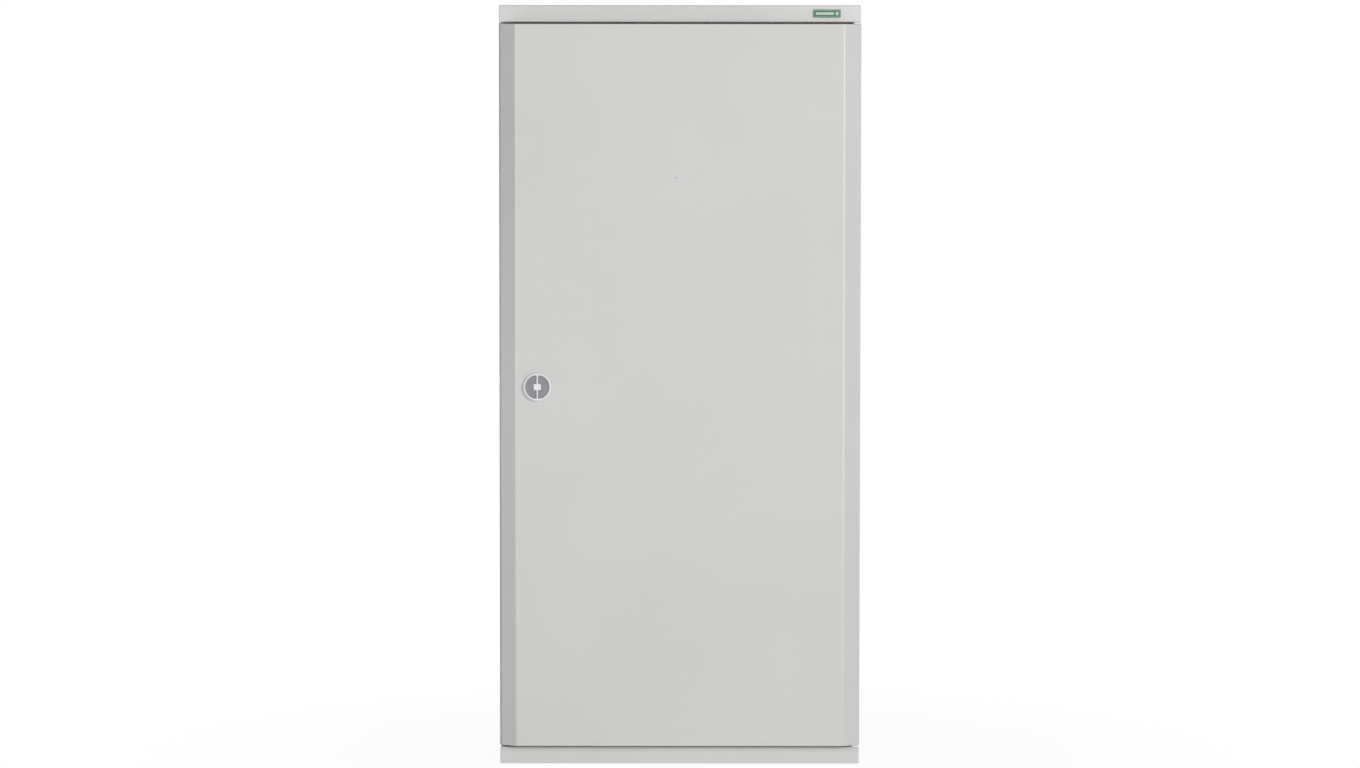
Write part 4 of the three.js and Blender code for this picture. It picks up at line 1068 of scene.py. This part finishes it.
def interior():
    fastener_places = []
    for node in PLATES:
        fastener_places += cover_plate(node)
    fasteners("plate_fasteners", quarter_turn(7.5 * MM, 1.4 * MM), fastener_places, material=insulator)
    devices()
    bodies = ["main_lever", "residual_lever", *(f"lever_{i}" for i in range(1, 7))]
    for node, device, body in zip(LEVERS, DEVICES, bodies):
        lever(node, device, body, lever_red if body == "main_lever" else lever_black)
    test_button()
    for row in ("main", "upper", "lower"):
        blanking_strip("blanking_strip_" + row)
        dress(zinc_plate, 0.3 * MM, "din_rail_" + row)
    dress(zinc_plate, 0.5 * MM, "frame_upright_left", "frame_upright_right")
    dress(insulator, 0.8 * MM, "bar_support_left", "bar_support_right")
    dress(brass, 0.3 * MM, "neutral_bar", "earth_bar")
    for node in ("neutral_bar", "earth_bar"):
        low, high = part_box(node)
        count, reach, middle = 12, 165 * MM, (low.y + high.y) / 2
        xs = [-reach + 2 * reach * i / (count - 1) for i in range(count)]
        places = [place((x, middle, high.z), "+z") for x in xs]
        fasteners(node + "_screws", pan_screw(2.9 * MM, 1.8 * MM), places)


def door_fittings():
    dress(zinc_plate, 0.6 * MM, "door_stiffener")
    dress(pocket_plastic, 0.9 * MM, "document_pocket", segments=3)
    dress(insulator, 0.6 * MM, "rod_guide_upper", "rod_guide_lower")
    dress(insulator, 0.3 * MM, "lock_housing")
    dress(zinc_plate, 0.7 * MM, "lock_case")
    dress(zinc_plate, 0.25 * MM, "lock_rod_upper", "lock_rod_lower", "lock_tongue")
    dress(pin_steel, 0.2 * MM, "lock_spindle")
    low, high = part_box("lock_case")
    inset = 5 * MM
    heights = (low.z + inset, high.z - inset)
    places = [place((x, high.y, z), "+y") for x in (low.x + inset, high.x - inset) for z in heights]
    fasteners("lock_case_rivets", dome_rivet(2.6 * MM, 1.2 * MM), places, "door")
    places = []
    for node in ("rod_guide_upper", "rod_guide_lower"):
        low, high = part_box(node)
        middle, inset = (low.z + high.z) / 2, 3.2 * MM
        places += [place((x, high.y, middle), "+y") for x in (low.x + inset, high.x - inset)]
    fasteners("rod_guide_screws", pan_screw(2.4 * MM, 1.4 * MM), places, "door")
    low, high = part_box("door_stiffener")
    rows = 8
    foot_y = low.y + 1.2 * MM
    places = [
        place((x, foot_y, low.z + 30 * MM + (high.z - low.z - 60 * MM) * i / (rows - 1)), "+y")
        for x in (low.x + 7 * MM, high.x - 7 * MM) for i in range(rows)
    ]
    fasteners("stiffener_rivets", dome_rivet(2.4 * MM, 0.9 * MM), places, "door")


def shell_fittings():
    flange_z = (HEIGHT - BAND / 2, BAND / 2)
    places = [
        place((x, BACK_Y, z), "+y") for z in flange_z for x in (-270 * MM, -90 * MM, 90 * MM, 270 * MM)
    ]
    fasteners("cover_rivets", dome_rivet(3.0 * MM, 0.6 * MM), places)
    low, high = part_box("top_gland_plate")
    xs = (-150 * MM, 0.0, 150 * MM)
    spots = [(x, y) for x in xs for y in (low.y + 4.5 * MM, high.y - 4.5 * MM)]
    for name, z, facing in (("top", HEIGHT, "+z"), ("bottom", 0.0, "-z")):
        places = [place((x, y, z), facing) for x, y in spots]
        fasteners(f"gland_screws_{name}", dome_rivet(3.2 * MM, 0.3 * MM), places)


def build():
    cover("top_cover", True, top_paint)
    cover("bottom_cover", False, bottom_paint)
    side_panel("side_panel_left", -1)
    side_panel("side_panel_right", 1)
    back_panel()
    gland_plate("top_gland_plate", True)
    gland_plate("bottom_gland_plate", False)
    hinge_parts()
    badge()
    shell_fittings()
    interior()
    door_skin()
    gasket()
    hinge_brackets()
    door_fittings()
    turn_handle()
    handle_disc()
    cabinet_end, door_end = earth_wire()
    on_side = Vector((HALF_WIDTH - SHEET, cabinet_end.y + 9 * MM, cabinet_end.z + 9 * MM))
    on_door = Vector((door_end.x - 2 * MM, FRONT_Y + SHEET, door_end.z + 10 * MM))
    ring_terminal("earth_cabinet", on_side, cabinet_end, "-x", "cabinet")
    ring_terminal("earth_door", on_door, door_end, "+y", "door")


build()


# ---- Stage ----


WHITE = (1, 1, 1, 1)


def floor():
    """A pale floor, which fades into the white surround a little way from the object."""
    bm = bmesh.new()
    reach = 60.0
    corners = ((-reach, -reach), (reach, -reach), (reach, reach), (-reach, reach))
    face(bm, [(x, y, -0.4 * MM) for x, y in corners])
    s = Surface("studio_floor", "powder_coat")
    base = s.mix(s.noise(1.5, 2.0), (0.88, 0.88, 0.88), (0.91, 0.91, 0.91))
    s.finish(base, 0.8)
    lit = s.tree.nodes["Principled BSDF"].outputs[0]
    distance = s.add("VectorMath", {0: s.place}, operation="LENGTH").outputs["Value"]
    far = s.add("MapRange", {"Value": distance, "From Min": 0.35, "From Max": 1.1, "To Min": 0.93},
                interpolation_type="SMOOTHSTEP")
    direct = s.add("LightPath").outputs["Is Camera Ray"]
    share = s.add("Mix", {0: direct, 2: 0.22, 3: far.outputs[0]}).outputs[0]
    glow = s.add("Emission", {"Color": WHITE, "Strength": 1.0}).outputs[0]
    blend = s.add("MixShader", {0: share, 1: lit, 2: glow}).outputs[0]
    s.put(s.tree.nodes["Material Output"].inputs["Surface"], blend)
    obj = to_object("floor", bm)
    obj.data.materials.append(s.material)


def studio_world():
    """Pure white to the camera. To the object, a soft gradient that is brighter in front and to the right."""
    world = bpy.data.worlds.new("studio")
    s = Graph(world)
    toward = {0: s.add("TexCoord").outputs["Generated"], 1: (0.10, -0.20, -0.02)}
    tilt = s.add("VectorMath", toward, operation="DOT_PRODUCT").outputs["Value"]
    level = s.add("Math", {0: tilt, 1: 0.35}).outputs[0]
    seen = s.add("Background", {"Color": WHITE}).outputs[0]
    soft = s.add("Background", {"Color": WHITE, "Strength": level}).outputs[0]
    direct = s.add("LightPath").outputs["Is Camera Ray"]
    mixed = s.add("MixShader", {0: direct, 1: soft, 2: seen}).outputs[0]
    s.add("OutputWorld", {"Surface": mixed})
    scene.world = world


def area_light(name, position, target, size, power, colour=(1, 1, 1)):
    data = setup(bpy.data.lights.new(name, "AREA"), shape="DISK", size=size, energy=power, color=colour)
    turn = (Vector(target) - Vector(position)).to_track_quat("-Z", "Y")
    obj = new_object(name, data, visible_camera=False, location=position)
    setup(obj, rotation_mode="QUATERNION", rotation_quaternion=turn)


def camera():
    """The photo's camera: far in front, a little above the middle and tilted slightly down."""
    data = setup(bpy.data.cameras.new("camera"), sensor_width=36.0, lens=121.35, clip_end=200.0)
    obj = new_object("camera", data, location=(0.0, -7.66, 1.13))
    obj.rotation_euler = (math.radians(90 - 3.742), math.radians(-0.04), 0.0)
    scene.camera = obj


floor()
studio_world()
area_light("key", (3.0, -4.5, 2.1), (0, 0, 0.75), 1.6, 111)
area_light("front_fill", (-0.3, -3.6, 0.75), (0, 0, 0.6), 1.2, 14.6)
area_light("low_fill", (0.1, -1.9, 0.1), (0, 0, 0.1), 1.0, 0.5)
area_light("side_fill", (-0.95, -0.2, 0.5), (-0.3, -0.08, 0.5), 0.4, 0.42, (1.0, 0.93, 0.85))
area_light("back_fill", (-1.2, 3.6, 0.8), (0, 0, 0.7), 1.6, 60)
camera()
scene.view_settings.view_transform = "Standard"
